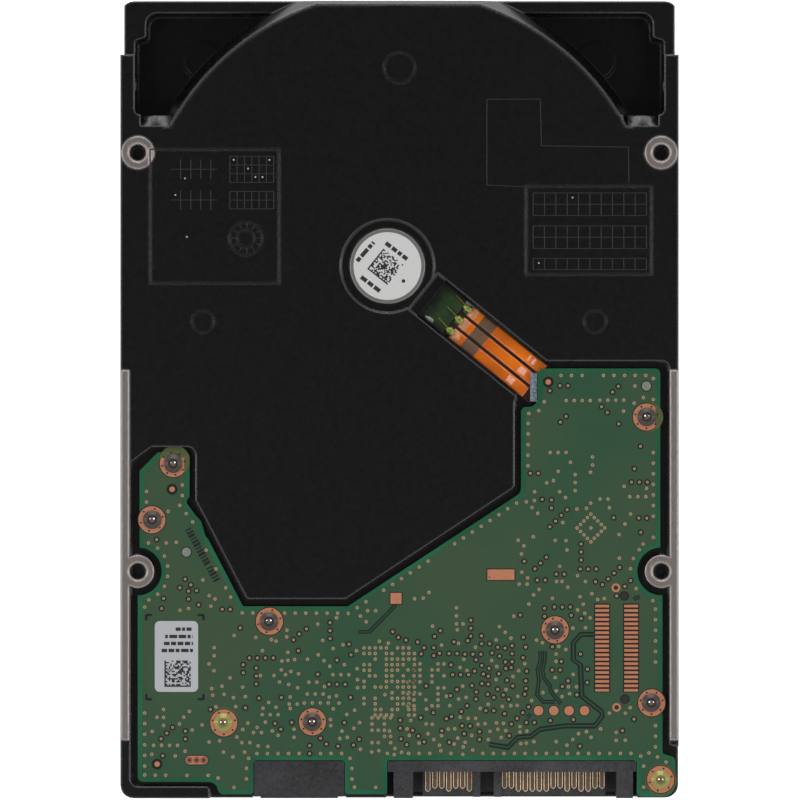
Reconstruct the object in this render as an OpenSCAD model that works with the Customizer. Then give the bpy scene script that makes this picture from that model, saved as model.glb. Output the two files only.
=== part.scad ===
// 3.5-inch helium-filled hard disk drive, lying on its cover with the circuit board upwards.
// +Z points out of the board side, the plugs are at -Y, and the origin is the bottom centre.
$fn = 64;

/* [Body] */
// Width across the side rails
body_w = 101.6; // [101:0.1:103]
// Length from the plug end to the far end
body_l = 145.2; // [144:0.1:147]
// Height from the outer cover to the mounting faces
body_h = 26.1; // [26.1:0.1:27.5]
// Corner radius of the casting seen from above
corner_r = 2.4; // [1.5:0.1:4]
// Width of the bare rail strip beside the board
rail_w = 1.5; // [1:0.1:2]
// Drop of the black deck below the mounting faces
deck_drop = 0.3; // [0.1:0.05:0.5]
// Drop of the board's outer face below the mounting faces
board_drop = 0.8; // [0.6:0.05:1]
// Floor of the board recess, below the mounting faces
recess_drop = 2.9; // [2.7:0.05:3.1]
// Floor of the component pocket, below the mounting faces
pocket_drop = 5.6; // [5:0.1:5.8]

/* [Mounting holes] */
// Wall radius of the tapped mounting holes
hole_r = 1.4; // [1.3:0.05:1.5]
// Depth of the tapped holes in the board side
hole_depth = 3.6; // [3:0.1:3.8]
// Depth of the tapped holes in the sides
side_hole_depth = 3.4; // [2.5:0.1:3.8]
// Radius of the machined face round a mounting hole
spot_r = 3; // [2.6:0.1:3.2]
// Hole centre to the side face
hole_inset = 3.175; // [3.1:0.025:3.4]
// Near hole to the plug end
hole_near = 41.28; // [41:0.1:42]
// Near hole to far hole
hole_pitch = 76.2; // [75:0.1:77]
// Near side hole to the plug end
side_hole_near = 28.5; // [28:0.1:29]
// Near side hole to far side hole
side_hole_pitch = 101.6; // [101:0.1:102]
// Side hole below the mounting faces
side_hole_drop = 6.35; // [6.2:0.05:6.5]

/* [Covers] */
// Thickness of the welded outer cover
outer_cover_t = 0.6; // [0.4:0.05:0.8]
// Gap between the two covers
cover_gap = 1; // [0.9:0.05:1.2]
// Thickness of the inner cover
inner_cover_t = 1; // [0.8:0.05:1.1]
// Thickness of the gasket
gasket_t = 0.3; // [0.2:0.05:0.5]
// Inner cover edge to the casting's side face
inner_cover_inset = 3.4; // [3:0.1:3.6]
// Depth of the label's recess in the outer cover
label_recess = 0.15; // [0.1:0.05:0.2]
// Radius of the cover screws' shanks
cover_screw_r = 1; // [0.8:0.1:1.1]

/* [Disk stack] */
// Spindle axis to the drive's centre plane
spindle_x = -2.2; // [-2.3:0.1:-1.8]
// Spindle axis to the plug end
spindle_from_plug = 96.85; // [96.5:0.1:97.5]
// Number of platters
platter_n = 9; // [9:1:9]
// Radius of a platter
platter_r = 47.5; // [46.5:0.1:47.5]
// Thickness of a platter
platter_t = 0.635; // [0.5:0.005:0.66]
// Platter to platter distance
platter_pitch = 1.7; // [1.68:0.01:1.72]
// Outermost platter below the ceiling of the disk well
platter_ceiling_gap = 1.165; // [1.1:0.005:1.2]
// Bore radius of a platter
platter_bore_r = 12.5; // [12.4:0.05:12.8]
// Gap between platter rim and casting
well_gap = 0.25; // [0.2:0.05:0.5]
// Thickness of the casting above the disk well
well_roof_t = 1.6; // [1.4:0.1:1.8]

/* [Actuator] */
// Pivot axis to the drive's centre plane
pivot_x = 14; // [13.8:0.1:14.2]
// Pivot axis to the plug end
pivot_from_plug = 40.5; // [40.3:0.1:40.7]
// Parked direction of the arms, from +X
park_angle = 52.5; // [52:0.1:53]
// Pivot to read/write heads
head_reach = 50; // [49.5:0.1:50.3]
// Thickness of an arm
arm_t = 0.7; // [0.6:0.05:0.75]
// Radius of the pivot bearing cartridge
cartridge_r = 6; // [5.5:0.1:6.2]
// Radius of the fixed pivot shaft
pivot_shaft_r = 2; // [1.8:0.1:2.2]

/* [Circuit board] */
// Thickness of the board
board_t = 1; // [0.8:0.05:1.1]
// Radius of the board's screw heads
board_screw_head_r = 1.7; // [1.5:0.05:1.9]
// Contact pitch of the plug
pin_pitch = 1.27; // [1.25:0.01:1.28]
// Width of a plug contact
pin_w = 0.95; // [0.8:0.05:1]

/* [Hidden] */

EPS = 0.01;             // overlap that makes a cut run clean through
ALUMINIUM = [0.78, 0.78, 0.77];
BLACK = [0.09, 0.09, 0.09];
GREEN = [0.13, 0.36, 0.22];
STEEL = [0.72, 0.72, 0.7];
COPPER = [0.8, 0.5, 0.36];

// Sides of the outline
left = -body_w / 2;
right = body_w / 2;
front = -body_l / 2;
rear = body_l / 2;

// Heights, from the cover side to the board side
outer_cover_top = outer_cover_t;
inner_cover_z = outer_cover_top + cover_gap;
gasket_z = inner_cover_z + inner_cover_t;
cavity_z = gasket_z + gasket_t;
deck_z = body_h - deck_drop;
board_top = body_h - board_drop;
board_z = board_top - board_t;
recess_z = body_h - recess_drop;
pocket_z = body_h - pocket_drop;
well_roof = recess_z - well_roof_t;
bay_roof = pocket_z - 1.7;

// Spindle and pivot axes
spindle = [spindle_x, front + spindle_from_plug];
pivot = [pivot_x, front + pivot_from_plug];
well_r = platter_r + well_gap;

// Mounting hole centres in the board side and along the sides
hole_x = right - hole_inset;
hole_ys = [front + hole_near, front + hole_near + hole_pitch];
side_hole_ys = [front + side_hole_near, front + side_hole_near + side_hole_pitch];
side_hole_z = body_h - side_hole_drop;

// A unit vector, and the direction of a vector in degrees
function unit(v) = v / norm(v);
function heading(v) = atan2(v[1], v[0]);
// An angle brought to within half a turn of zero
function wrapped(a) = a - 360 * round(a / 360);
// Points of the arc that rounds the corner b between a and c to the radius r
function corner_arc(a, b, c, r, steps = 5) =
    r <= 0 ? [b] :
    let (u = unit(a - b), v = unit(c - b),
         half = acos(max(-1, min(1, u * v))) / 2)
    half > 89 ? [b] :
    let (centre = b + unit(u + v) * r / sin(half),
         first = heading(b + u * r / tan(half) - centre),
         turn = wrapped(heading(b + v * r / tan(half) - centre) - first))
    [for (i = [0 : steps]) centre + r * [cos(first + turn * i / steps), sin(first + turn * i / steps)]];
// An outline of [x, y, radius] corners, with each corner rounded
function rounded(corners, steps = 5) =
    let (n = len(corners), at = [for (p = corners) [p[0], p[1]]])
    [for (i = [0 : n - 1])
        each corner_arc(at[(i + n - 1) % n], at[i], at[(i + 1) % n], corners[i][2], steps)];
// A closed outline, listed anticlockwise, moved outwards by d
function grown(points, d) =
    let (n = len(points))
    [for (i = [0 : n - 1])
        let (u = unit(points[i] - points[(i + n - 1) % n]),
             v = unit(points[(i + 1) % n] - points[i]),
             normal = unit([u[1] + v[1], -u[0] - v[0]]))
        points[i] + normal * d / max(0.5, normal * [u[1], -u[0]])];
// The same outline mirrored to the other side and still listed anticlockwise
function mirrored(points) =
    [for (i = [len(points) - 1 : -1 : 0]) [-points[i][0], points[i][1], points[i][2]]];

// A plate of an outline between two heights
module plate(points, z0, z1) {
    translate([0, 0, z0]) linear_extrude(z1 - z0) polygon(points);
}
// A round disc or ring on an axis
module disc(at, r, z0, z1) {
    translate([at[0], at[1], z0]) cylinder(r = r, h = z1 - z0);
}
module ring(at, r_in, r_out, z0, z1) {
    difference() {
        disc(at, r_out, z0, z1);
        disc(at, r_in, z0 - EPS, z1 + EPS);
    }
}
// A box between two corners
module block(low, high) {
    translate(low) cube(high - low);
}

// ---------- Outlines ----------
board_edge = 3.16;        // board edge to the side face beside the rails
tab_edge = 0.6;           // corner tab to the side face
plug_cut = [[-2.27, 6.9], [43.2, 6.9]];    // the plug's notch: x and depth from the plug end
port_cut = [[-26.6, 6.9], [-9.92, 6.9]];   // the service port's notch
tongue_y = front + 0.7;   // front edge of the board's tongues

// The board's outline, anticlockwise from its front left corner
board_corners = [
    [left + board_edge, front + 2.95, 1], [-33.5, front + 2.95, 1.5], [-32.8, tongue_y, 1],
    [port_cut[0][0], tongue_y, 0.5], [port_cut[0][0], front + port_cut[0][1], 0.6],
    [port_cut[1][0], front + port_cut[1][1], 0.6], [port_cut[1][0], tongue_y, 0.5],
    [plug_cut[0][0], tongue_y, 0.5], [plug_cut[0][0], front + plug_cut[0][1], 0.3],
    [plug_cut[1][0], front + plug_cut[1][1], 0.6], [plug_cut[1][0], tongue_y - 0.4, 0.8],
    [right - tab_edge, tongue_y - 0.4, 2.2], [right - tab_edge, front + 7.4, 1],
    [right - 2.95, front + 8.1, 0.5],
    [right - 2.95, front + 37, 0.8], [right - 3.35, front + 37.5, 0.3],
    [right - 3.35, front + 78.2, 0.9], [25.17, front + 78.2, 1.1],
    [25.17, front + 71.2, 1.6], [22.13, front + 71.2, 0.9],
    [22.13, front + 55.6, 1.6], [-9.43, front + 34.9, 1.2],
    [-28.48, front + 34.9, 0.4], [-34.9, front + 47.3, 0.8], [-35.3, front + 47.6, 0.4],
    [-36.1, front + 50.4, 0.4], [-37.2, front + 51.6, 0.4],
    [-38.9, front + 53.9, 0.6], [-38.23, front + 54.9, 0.4],
    [-38.23, front + 62.97, 0.8], [-43.98, front + 62.97, 0.5],
    [left + 3.5, front + 59.6, 0.3], [left + 3.5, front + 37.5, 0.3],
    [left + board_edge, front + 37, 0.3]];
board_outline = rounded(board_corners);
board_notch_r = 4.35;     // clearance round a mounting boss

// The casting's recess for the board
recess_corners = [
    [left + 2.2, front + 2.5, 1], [-34.2, front + 2.5, 1], [-34.2, front - 1, 0], [right + 1, front - 1, 0], [right + 1, front + 9.2, 0],
    [right - 2.1, front + 9.2, 1],
    [right - 2.1, front + 79.2, 1], [24.2, front + 79.2, 0.8],
    [21.3, front + 72, 0.5], [21.3, front + 56.4, 1.4],
    [-9.7, front + 35.9, 1], [-28, front + 35.9, 1],
    [-37.5, front + 54.2, 1.2], [-37.5, front + 63.6, 1.2],
    [-45, front + 63.6, 0.5], [left + 2.2, front + 60.9, 0.3]];
recess_margin = 0.35;     // how far the recess reaches beyond these corners
recess_outline = grown(rounded(recess_corners), recess_margin);

// The hollow pockets at the far end, right-hand one
pocket_corners = [
    [13, rear - 20.8, 0], [right - 2.6, rear - 20.8, 1], [right - 2.6, rear - 7.2, 0.6],
    [right - 4.6, rear - 6.6, 0.6], [right - 4.6, rear - 2.2, 2], [13, rear - 2.2, 0]];
pocket_floor = 9;         // height of the pocket floor
pocket_boss = [36.3, rear - 10.3];
rear_rim_drop = 3.6;      // drop of the far rim below the mounting faces
rear_rim_y = rear - 9.9;   // where the side rails step down to the rim

// The bulge of the deck over the disks
bulge = [-0.3, rear - 45.5];
bulge_r = 47.3;           // at the deck
bulge_shoulder_r = 48.9;  // at its shoulder
bulge_foot_r = 49.6;      // at the pocket floor
bulge_shoulder_drop = 3.2;

// The motor's recess in the deck and the channel for its flex
motor_recess_r = 8.5;
motor_recess_drop = 1;
channel_w = 8.4;
channel_drop = 1.6;
channel_angle = -38.9;
channel_start = spindle + [5.35, -3.65];
channel_length = 29;

// ---------- Casting ----------
module bulge_cone() {
    shoulder_z = body_h - bulge_shoulder_drop;
    translate([bulge[0], bulge[1], shoulder_z])
        cylinder(r1 = bulge_shoulder_r, r2 = bulge_r, h = deck_z - shoulder_z);
    translate([bulge[0], bulge[1], pocket_floor - 1])
        cylinder(r1 = bulge_foot_r, r2 = bulge_shoulder_r, h = shoulder_z - pocket_floor + 1);
}
// One far corner pocket with a ramp at its near end; side is -1 or 1
module far_pocket(side) {
    corners = side > 0 ? pocket_corners : mirrored(pocket_corners);
    near = rear - 20.8;
    difference() {
        union() {
            plate(rounded(corners), pocket_floor, body_h);
            translate([side * 43.9 - 3.2, 0, 0]) rotate([90, 0, 90]) linear_extrude(6.4)
                polygon([[near + 1, deck_z - 8], [near - 2.4, deck_z + 1], [near + 1, deck_z + 1]]);
        }
        bulge_cone();
        translate([side * pocket_boss[0], pocket_boss[1], 0]) cylinder(r = 3.4, h = pocket_floor + 1.2);
    }
}
// The opening for the platters and the arm bay, below the roofs
bay_left = left + 4.6;
bay_right = right - 4.6;
bay_front = front + 4;
seat_ledge = 1.2;         // height of the ledge that the gasket rests on
// What lies above the ledge stays whole; below it, only what lies inside the gasket
module inside_ledge() {
    intersection() {
        children();
        union() {
            block([left, front, cavity_z + seat_ledge], [right, rear, body_h]);
            plate(grown(inner_cover_outline, -gasket_w - 0.2), 0, body_h);
        }
    }
}
module disk_well() {
    inside_ledge() disc(spindle, well_r, cavity_z - EPS, well_roof);
}
module arm_bay() {
    // over the arms and their sweep
    inside_ledge()
        plate(rounded([[pivot_x - 20, pivot[1] - 13, 4], [bay_right, pivot[1] - 13, 3],
                       [bay_right, front + 52.5, 1], [right - 1.6, front + 66, 2],
                       [right - 1.6, front + 94, 3], [30, front + 98, 2],
                       [-10, front + 62, 2], [pivot_x - 20, front + 54, 1]]), cavity_z - EPS, well_roof);
    // over the voice coil motor, under the component pocket
    plate(rounded([[bay_left, bay_front, 3], [bay_right, bay_front, 3],
                   [bay_right, front + 40, 1], [-20, front + 52, 1], [bay_left, front + 50, 3]]),
          cavity_z - EPS, bay_roof);
}
cover_screw_spots = [
    [left + 5.6, front + 5.5], [right - 5.6, front + 5.5], [-24, front + 6.2], [37, front + 6.2],
    [left + 5.2, front + 58], [right - 5.3, front + 57],
    [-pocket_boss[0], pocket_boss[1]], pocket_boss];
cover_boss_r = 2.4;
// The two far ones run into solid metal below the pockets
module cover_bosses() {
    for (i = [0 : 5])
        disc(cover_screw_spots[i], cover_boss_r, cavity_z, well_roof + 0.5);
}
board_screw_spots = [
    [-41.2, front + 60.9], [-45, front + 50.7], [-23.75, front + 32.2], [-15.9, front + 13.9],
    [45, front + 69.4], [28.3, front + 30.6], [right - 5, front + 17.4]];
brass_screw_spots = [[-32.1, front + 13.75], [right - 3.3, front + 3.35]];
board_boss_r = 2;
board_screw_r = 0.8;
board_screw_hole_r = 0.95;
board_screw_length = 3;
module board_bosses(low, high) {
    for (p = concat(board_screw_spots, brass_screw_spots))
        disc(p, board_boss_r, low, high);
}
// The pocket under the board for its tall components
component_pocket = rounded([
    [left + 7.4, front + 9.5, 1.5], [right - 8.6, front + 9.5, 1.5],
    [right - 8.6, front + 27, 1.5], [left + 7.4, front + 27, 1.5]]);
feedthrough = [39.2, front + 27.4];
feedthrough_size = [9.6, 17];

module casting_body() {
    outline = rounded([[left, front, corner_r], [right, front, corner_r],
                       [right, rear, corner_r], [left, rear, corner_r]]);
    rim_inset = 0.6;
    difference() {
        plate(outline, outer_cover_top, deck_z);
        // the far rim stands lower and a little inside the rails
        difference() {
            block([left - 1, rear_rim_y, body_h - rear_rim_drop], [right + 1, rear + 1, body_h]);
            bulge_cone();
        }
        for (side = [-1, 1])
            translate([side * (body_w / 2 - rim_inset / 2 + 1), rear - 4.9, body_h / 2 + 3])
                cube([rim_inset + 2, 10, body_h], center = true);
        // the bulge slopes down to the far end face as it does round its arc
        translate([0, rear - 0.6, deck_z]) rotate([-61, 0, 0])
            translate([-15, 0, 0]) cube([30, 8, 8]);
        for (side = [-1, 1])
            far_pocket(side);
    }
    // the bare strips beside the board
    for (x = [left + 0.1, right - 0.1 - rail_w])
        block([x, front + 10.6, recess_z], [x + rail_w, front + 77.9, body_h]);
    for (x = [-hole_x, hole_x], y = hole_ys)
        intersection() {
            disc([x, y], spot_r, deck_z - 3, body_h);
            block([left, front, 0], [right, rear, body_h]);
        }
}
module base_casting() {
    color(BLACK) difference() {
        union() {
            difference() {
                casting_body();
                difference() {
                    plate(recess_outline, recess_z, body_h + 1);
                    for (x = [-hole_x, hole_x])
                        disc([x, hole_ys[0]], spot_r, recess_z - EPS, body_h + 1);
                    for (x = [left, right - 0.1 - rail_w])
                        block([x, front + 10.6, recess_z - EPS], [x + rail_w + 0.1, front + 77.9, body_h + 1]);
                }
                difference() {
                    plate(component_pocket, pocket_z, recess_z + EPS);
                    board_bosses(pocket_z - 1, recess_z + 1);
                }
                disk_well();
                arm_bay();
            }
            cover_bosses();
            latch_post();
            board_bosses(recess_z - 0.5, board_z);
        }
        inner_cover_seat();
        motor_opening();
        flex_channel();
        plug_notches();
        feedthrough_opening();
        mounting_holes();
        casting_screw_holes();
        deck_marks();
    }
}
// The step that the inner cover drops into, open to the cover side
module inner_cover_seat() {
    plate(grown(inner_cover_outline, 0.15), 0, cavity_z);
}
inner_cover_outline = rounded([
    [left + inner_cover_inset, front + inner_cover_inset, 3],
    [right - inner_cover_inset, front + inner_cover_inset, 3],
    [right - inner_cover_inset, rear - inner_cover_inset, 3],
    [left + inner_cover_inset, rear - inner_cover_inset, 3]]);
module motor_opening() {
    disc(spindle, motor_recess_r, deck_z - motor_recess_drop, deck_z + 1);
    disc(spindle, bracket_r, well_roof - EPS, deck_z + 1);
}
module along_channel() {
    translate([channel_start[0], channel_start[1], 0]) rotate([0, 0, channel_angle]) children();
}
module flex_channel() {
    along_channel() translate([1.5, -channel_w / 2, deck_z - channel_drop])
        cube([channel_length, channel_w, channel_drop + 1]);
}
// Gaps in the front wall for the plug and the service port
module plug_notches() {
    block([plug_cut[0][0] - 0.15, front - 1, plug_z - 0.1], [plug_cut[1][0] + 0.15, front + 7.5, body_h + 1]);
    block([port_cut[0][0] - 0.15, front - 1, plug_z - 0.1], [port_cut[1][0] + 0.15, front + 7.5, body_h + 1]);
}
module feedthrough_opening() {
    translate([feedthrough[0], feedthrough[1], bay_roof + 2.5])
        cube([feedthrough_size[0], feedthrough_size[1], 10], center = true);
}
module mounting_holes() {
    for (x = [-hole_x, hole_x], y = hole_ys)
        translate([x, y, body_h - hole_depth]) {
            cylinder(r = hole_r, h = hole_depth + 1);
            translate([0, 0, hole_depth - 0.4]) cylinder(r1 = hole_r, r2 = hole_r + 0.4 + EPS, h = 0.4 + EPS);
        }
    for (side = [-1, 1], y = side_hole_ys)
        translate([side * (body_w / 2 + 1), y, side_hole_z]) rotate([0, -side * 90, 0])
            cylinder(r = hole_r, h = side_hole_depth + 1);
}
module casting_screw_holes() {
    for (p = cover_screw_spots)
        disc(p, cover_screw_r + 0.05, 0, inner_cover_z + cover_screw_length + 0.3);
    for (p = concat(board_screw_spots, brass_screw_spots))
        disc(p, board_screw_r + 0.05, board_top - board_screw_length, body_h);
}
// Shallow marks of the mould in the deck: knock-out pins, a date dial and two framed fields
mark_depth = 0.05;
pin_marks = [[0, rear - 12.3, 2.9], [-35.8, front + 86.7, 2.1], [35.6, front + 86.7, 2.1]];
dial = [-28, front + 101.8];
frame_line = 0.25;
module frame_mark(low, high) {
    difference() {
        block([low[0], low[1], deck_z - mark_depth], [high[0], high[1], deck_z + 1]);
        block([low[0] + frame_line, low[1] + frame_line, 0], [high[0] - frame_line, high[1] - frame_line, body_h + 1]);
    }
}
module deck_marks() {
    for (m = pin_marks)
        ring([m[0], m[1]], m[2] - 0.2, m[2], deck_z - mark_depth, deck_z + 1);
    ring(dial, 2.9, 3.1, deck_z - mark_depth, deck_z + 1);
    ring(dial, 1.5, 1.7, deck_z - mark_depth, deck_z + 1);
    frame_mark([-45.5, front + 93.6], [-21.8, front + 118.2]);
    frame_mark([22.9, front + 95.2], [46, front + 111.5]);
}

// ---------- Covers ----------
outer_cover_inset = 1;
label_inset = 9;
module outer_cover() {
    color(ALUMINIUM) difference() {
        plate(rounded([[left + outer_cover_inset, front + outer_cover_inset, corner_r - 1],
                       [right - outer_cover_inset, front + outer_cover_inset, corner_r - 1],
                       [right - outer_cover_inset, rear - outer_cover_inset, corner_r - 1],
                       [left + outer_cover_inset, rear - outer_cover_inset, corner_r - 1]]),
              0, outer_cover_top);
        plate(label_outline(0.1), -1, label_recess);
    }
}
function label_outline(margin) = rounded([
    [left + label_inset - margin, front + label_inset - margin, 2],
    [right - label_inset + margin, front + label_inset - margin, 2],
    [right - label_inset + margin, rear - label_inset + margin, 2],
    [left + label_inset - margin, rear - label_inset + margin, 2]]);
module cover_label() {
    color("white") plate(label_outline(0), 0.04, label_recess);
}
cover_screw_length = 5;
cover_head_r = 1.8;
cover_head_t = 0.7;
shaft_screw_length = 3.5;
shaft_screw_spots = [spindle, pivot];
module inner_cover() {
    color(ALUMINIUM) difference() {
        plate(inner_cover_outline, inner_cover_z, gasket_z);
        for (p = concat(cover_screw_spots, shaft_screw_spots))
            disc(p, cover_screw_r + 0.1, 0, body_h);
    }
}
gasket_w = 0.8;
module cover_gasket() {
    color("dimgray") difference() {
        plate(inner_cover_outline, gasket_z, cavity_z);
        plate(grown(inner_cover_outline, -gasket_w), 0, body_h);
    }
}
// Flat-headed screws that hold the inner cover, the spindle shaft and the pivot shaft
module flat_screw(at, head_z, length) {
    difference() {
        union() {
            disc(at, cover_head_r, head_z - cover_head_t, head_z);
            disc(at, cover_screw_r, head_z - EPS, head_z + length);
        }
        translate([at[0], at[1], head_z - cover_head_t - EPS]) cylinder(r = 0.75, h = 0.45, $fn = 6);
    }
}
module cover_screws() {
    color(STEEL) {
        for (p = cover_screw_spots)
            flat_screw(p, inner_cover_z, cover_screw_length);
        for (p = shaft_screw_spots)
            flat_screw(p, inner_cover_z, shaft_screw_length);
    }
}

// ---------- Circuit board ----------
module circuit_board() {
    color(GREEN) difference() {
        plate(board_outline, board_z, board_top);
        for (x = [-hole_x, hole_x])
            disc([x, hole_ys[0]], board_notch_r, 0, body_h);
        for (p = concat(board_screw_spots, brass_screw_spots))
            disc(p, board_screw_hole_r, 0, body_h);
    }
}
// A low-domed screw with a six-sided socket
dome_h = 0.55;
module domed_screw(at) {
    difference() {
        union() {
            disc(at, board_screw_head_r, board_top, board_top + 0.2);
            translate([at[0], at[1], board_top + 0.2]) cylinder(r1 = board_screw_head_r, r2 = 0.9, h = dome_h);
            disc(at, board_screw_r, board_top - board_screw_length + 0.2, board_top + 0.1);
        }
        translate([at[0], at[1], board_top + 0.3]) cylinder(r = 0.55, h = 1, $fn = 6);
    }
}
module board_screws() {
    color(STEEL) for (p = board_screw_spots) domed_screw(p);
}
module board_screws_brass() {
    color("goldenrod") for (p = brass_screw_spots) domed_screw(p);
}
board_label_at = [-40.6, front + 25.8];
board_label_size = [7.9, 12.9];
module board_label() {
    x = board_label_size[0] / 2;
    y = board_label_size[1] / 2;
    color("white") translate([board_label_at[0], board_label_at[1], 0])
        plate(rounded([[-x, -y, 0.9], [x, -y, 0.9], [x, y, 0.9], [-x, y, 0.9]]), board_top, board_top + 0.1);
}
// Packages soldered under the board
module chip(at, size, height) {
    block([at[0] - size[0] / 2, at[1] - size[1] / 2, board_z - height],
          [at[0] + size[0] / 2, at[1] + size[1] / 2, board_z]);
}
module controller_chip() {
    color(BLACK) chip([2, front + 18.2], [14, 14], 1.2);
}
module memory_chip() {
    color(BLACK) chip([-24, front + 22.2], [8, 9], 1);
}
module motor_driver_chip() {
    color(BLACK) chip([27, front + 14.6], [9, 9], 0.9);
}
// Inductors, capacitors and small drivers: centre, then width, length and height
small_parts = [
    [[-36.5, front + 22], [5, 5, 2.2]], [[-38, front + 14], [5, 4, 1.8]],
    [[14.5, front + 14.5], [3.2, 5, 1.6]], [[14.5, front + 21.5], [3.2, 5, 1.6]],
    [[-9, front + 21], [3.2, 1.6, 1]], [[-12.5, front + 24], [3.2, 1.6, 1]],
    [[20.4, front + 24], [2, 1.2, 0.8]], [[32.6, front + 22], [1.4, 2.5, 1.4]],
    [[-9, front + 14], [2, 1.2, 0.8]], [[-24, front + 14.6], [4, 3, 1]]];
module board_components() {
    color("dimgray") for (p = small_parts) chip(p[0], p[1], p[1][2]);
}
// Foam and film between the board and the casting
module board_insulator() {
    color([0.2, 0.2, 0.2]) difference() {
        plate(rounded([[-30.5, front + 28.4, 1], [20, front + 28.4, 1], [20, front + 50, 1],
                       [-8.5, front + 32.2, 1], [-30.5, front + 32.2, 1]]), recess_z, board_z);
        disc(board_screw_spots[2], board_boss_r + 0.3, 0, body_h);
    }
}

// ---------- Plug and service port ----------
plug_z = board_z - 4.7;
plug_top = board_top - 0.1;
pin_z = board_z - 1;               // contact face of the tongues
tongue_t = 1.2;
tongue_front = front + 0.5;
plug_back = front + 4.8;           // front face of the bar behind the tongues
plug_gap = 0.1;                    // housing to the board's notch
signal_x = 5.16;                   // first signal contact
signal_n = 7;
power_x = signal_x + (signal_n - 1) * pin_pitch + 6.35;
power_n = 15;
key_t = 1.35;
signal_tongue = [signal_x - 0.95, signal_x + (signal_n - 1) * pin_pitch + 0.6];
power_tongue = [power_x - 0.6, power_x + (power_n - 1) * pin_pitch + 0.6];
module plug_housing() {
    x0 = plug_cut[0][0] + plug_gap;
    x1 = plug_cut[1][0] - plug_gap;
    color(BLACK) {
        block([x0, plug_back, plug_z], [x1, front + plug_cut[0][1] - plug_gap, plug_top]);
        // side guides
        block([x0 + 1.1, front, plug_z], [signal_tongue[0] - 1.75, plug_back + EPS, plug_top]);
        block([power_tongue[1] + 2, front, plug_z], [x1 - 0.6, plug_back + EPS, plug_top]);
        // shell beneath the tongues
        block([x0 + 1.1, front + 1, plug_z], [x1 - 0.6, plug_back + EPS, plug_z + 0.8]);
        for (t = [signal_tongue, power_tongue])
            block([t[0], tongue_front, pin_z - tongue_t], [t[1], plug_back + EPS, pin_z]);
        // the walls that key each tongue
        for (x = [signal_tongue[1], power_tongue[0] - key_t])
            block([x, front + 0.15, pin_z - 2.4], [x + key_t, plug_back + EPS, pin_z + 0.5]);
    }
}
// One contact with a pointed tip; reach is its tip's distance from the plug end
module contact(x, reach) {
    w = pin_w / 2;
    tip = front + reach;
    translate([0, 0, pin_z]) linear_extrude(0.12)
        polygon([[x - w, plug_back], [x - w, tip + w], [x - 0.2, tip], [x + 0.2, tip],
                 [x + w, tip + w], [x + w, plug_back]]);
}
long_reach = 1.1;
short_reach = 1.65;
signal_long = [0, 3, 6];
power_long = [2, 3, 4, 5, 6, 9, 11, 12];
module plug_signal_contacts() {
    color("gold") for (i = [0 : signal_n - 1])
        contact(signal_x + i * pin_pitch, len(search(i, signal_long)) > 0 ? long_reach : short_reach);
}
module plug_power_contacts() {
    color("gold") for (i = [0 : power_n - 1])
        contact(power_x + i * pin_pitch, len(search(i, power_long)) > 0 ? long_reach : short_reach);
}
module service_port_block() {
    x0 = port_cut[0][0] + plug_gap;
    x1 = port_cut[1][0] - plug_gap;
    color(BLACK) difference() {
        union() {
            block([x0, front + 0.3, plug_z], [x1, front + port_cut[0][1] - plug_gap, plug_top]);
            block([x0 + 1.2, front, plug_z], [x1 - 1.2, front + 1, plug_top]);
        }
        block([x0 + 2, front - 1, plug_z + 1.1], [x1 - 2, front + 5.4, plug_top - 1.1]);
    }
}

// ---------- Spindle motor ----------
bracket_r = 6.82;
bracket_top = deck_z - 0.4;
bracket_tube_r = 6.2;
shaft_r = 2;
stack_top = well_roof - platter_ceiling_gap;
stack_bottom = stack_top - platter_t - (platter_n - 1) * platter_pitch;
hub_bottom = stack_bottom - 0.2;
hub_plate_t = 1.4;
hub_wall_r = platter_bore_r - 0.05;
hub_wall_t = 0.8;
flange_r = platter_bore_r + 2;
sleeve_r = 4.4;
stator_z = hub_bottom + 5;
stator_h = 5;
stator_r = 10.5;
teeth = 9;
module motor_bracket() {
    color(STEEL) difference() {
        union() {
            disc(spindle, bracket_r, well_roof + 0.05, bracket_top);
            disc(spindle, bracket_tube_r, hub_bottom + 3, well_roof + 0.06);
        }
        disc(spindle, bracket_tube_r - 1.4, 0, stack_top + 0.6);
        disc(spindle, shaft_r, 0, bracket_top - 1);
    }
}
module motor_label() {
    color("white") disc(spindle, bracket_r - 0.65, bracket_top, bracket_top + 0.1);
}
module spindle_shaft() {
    color(STEEL) difference() {
        union() {
            disc(spindle, shaft_r, gasket_z, bracket_top - 1);
            disc(spindle, 3, gasket_z, hub_bottom - 0.1);
        }
        disc(spindle, cover_screw_r + 0.03, 0, inner_cover_z + shaft_screw_length + 0.2);
    }
}
module stator_core() {
    color("gray") {
        ring(spindle, bracket_tube_r, bracket_tube_r + 1, stator_z, stator_z + stator_h);
        for (i = [0 : teeth - 1])
            translate([spindle[0], spindle[1], stator_z]) rotate([0, 0, 360 / teeth * i]) {
                translate([bracket_tube_r + 0.6, -0.8, 0]) cube([stator_r - bracket_tube_r - 1.2, 1.6, stator_h]);
                translate([stator_r - 0.9, -2.6, 0]) cube([0.7, 5.2, stator_h]);
            }
    }
}
winding_t = 0.7;
module stator_windings() {
    color("peru") for (i = [0 : teeth - 1])
        translate([spindle[0], spindle[1], stator_z]) rotate([0, 0, 360 / teeth * i])
            difference() {
                translate([bracket_tube_r + 1.35, -0.8 - winding_t, -winding_t])
                    cube([1.9, 1.6 + 2 * winding_t, stator_h + 2 * winding_t]);
                translate([0, -0.8, 0]) cube([stator_r, 1.6, stator_h]);
            }
}
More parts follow.
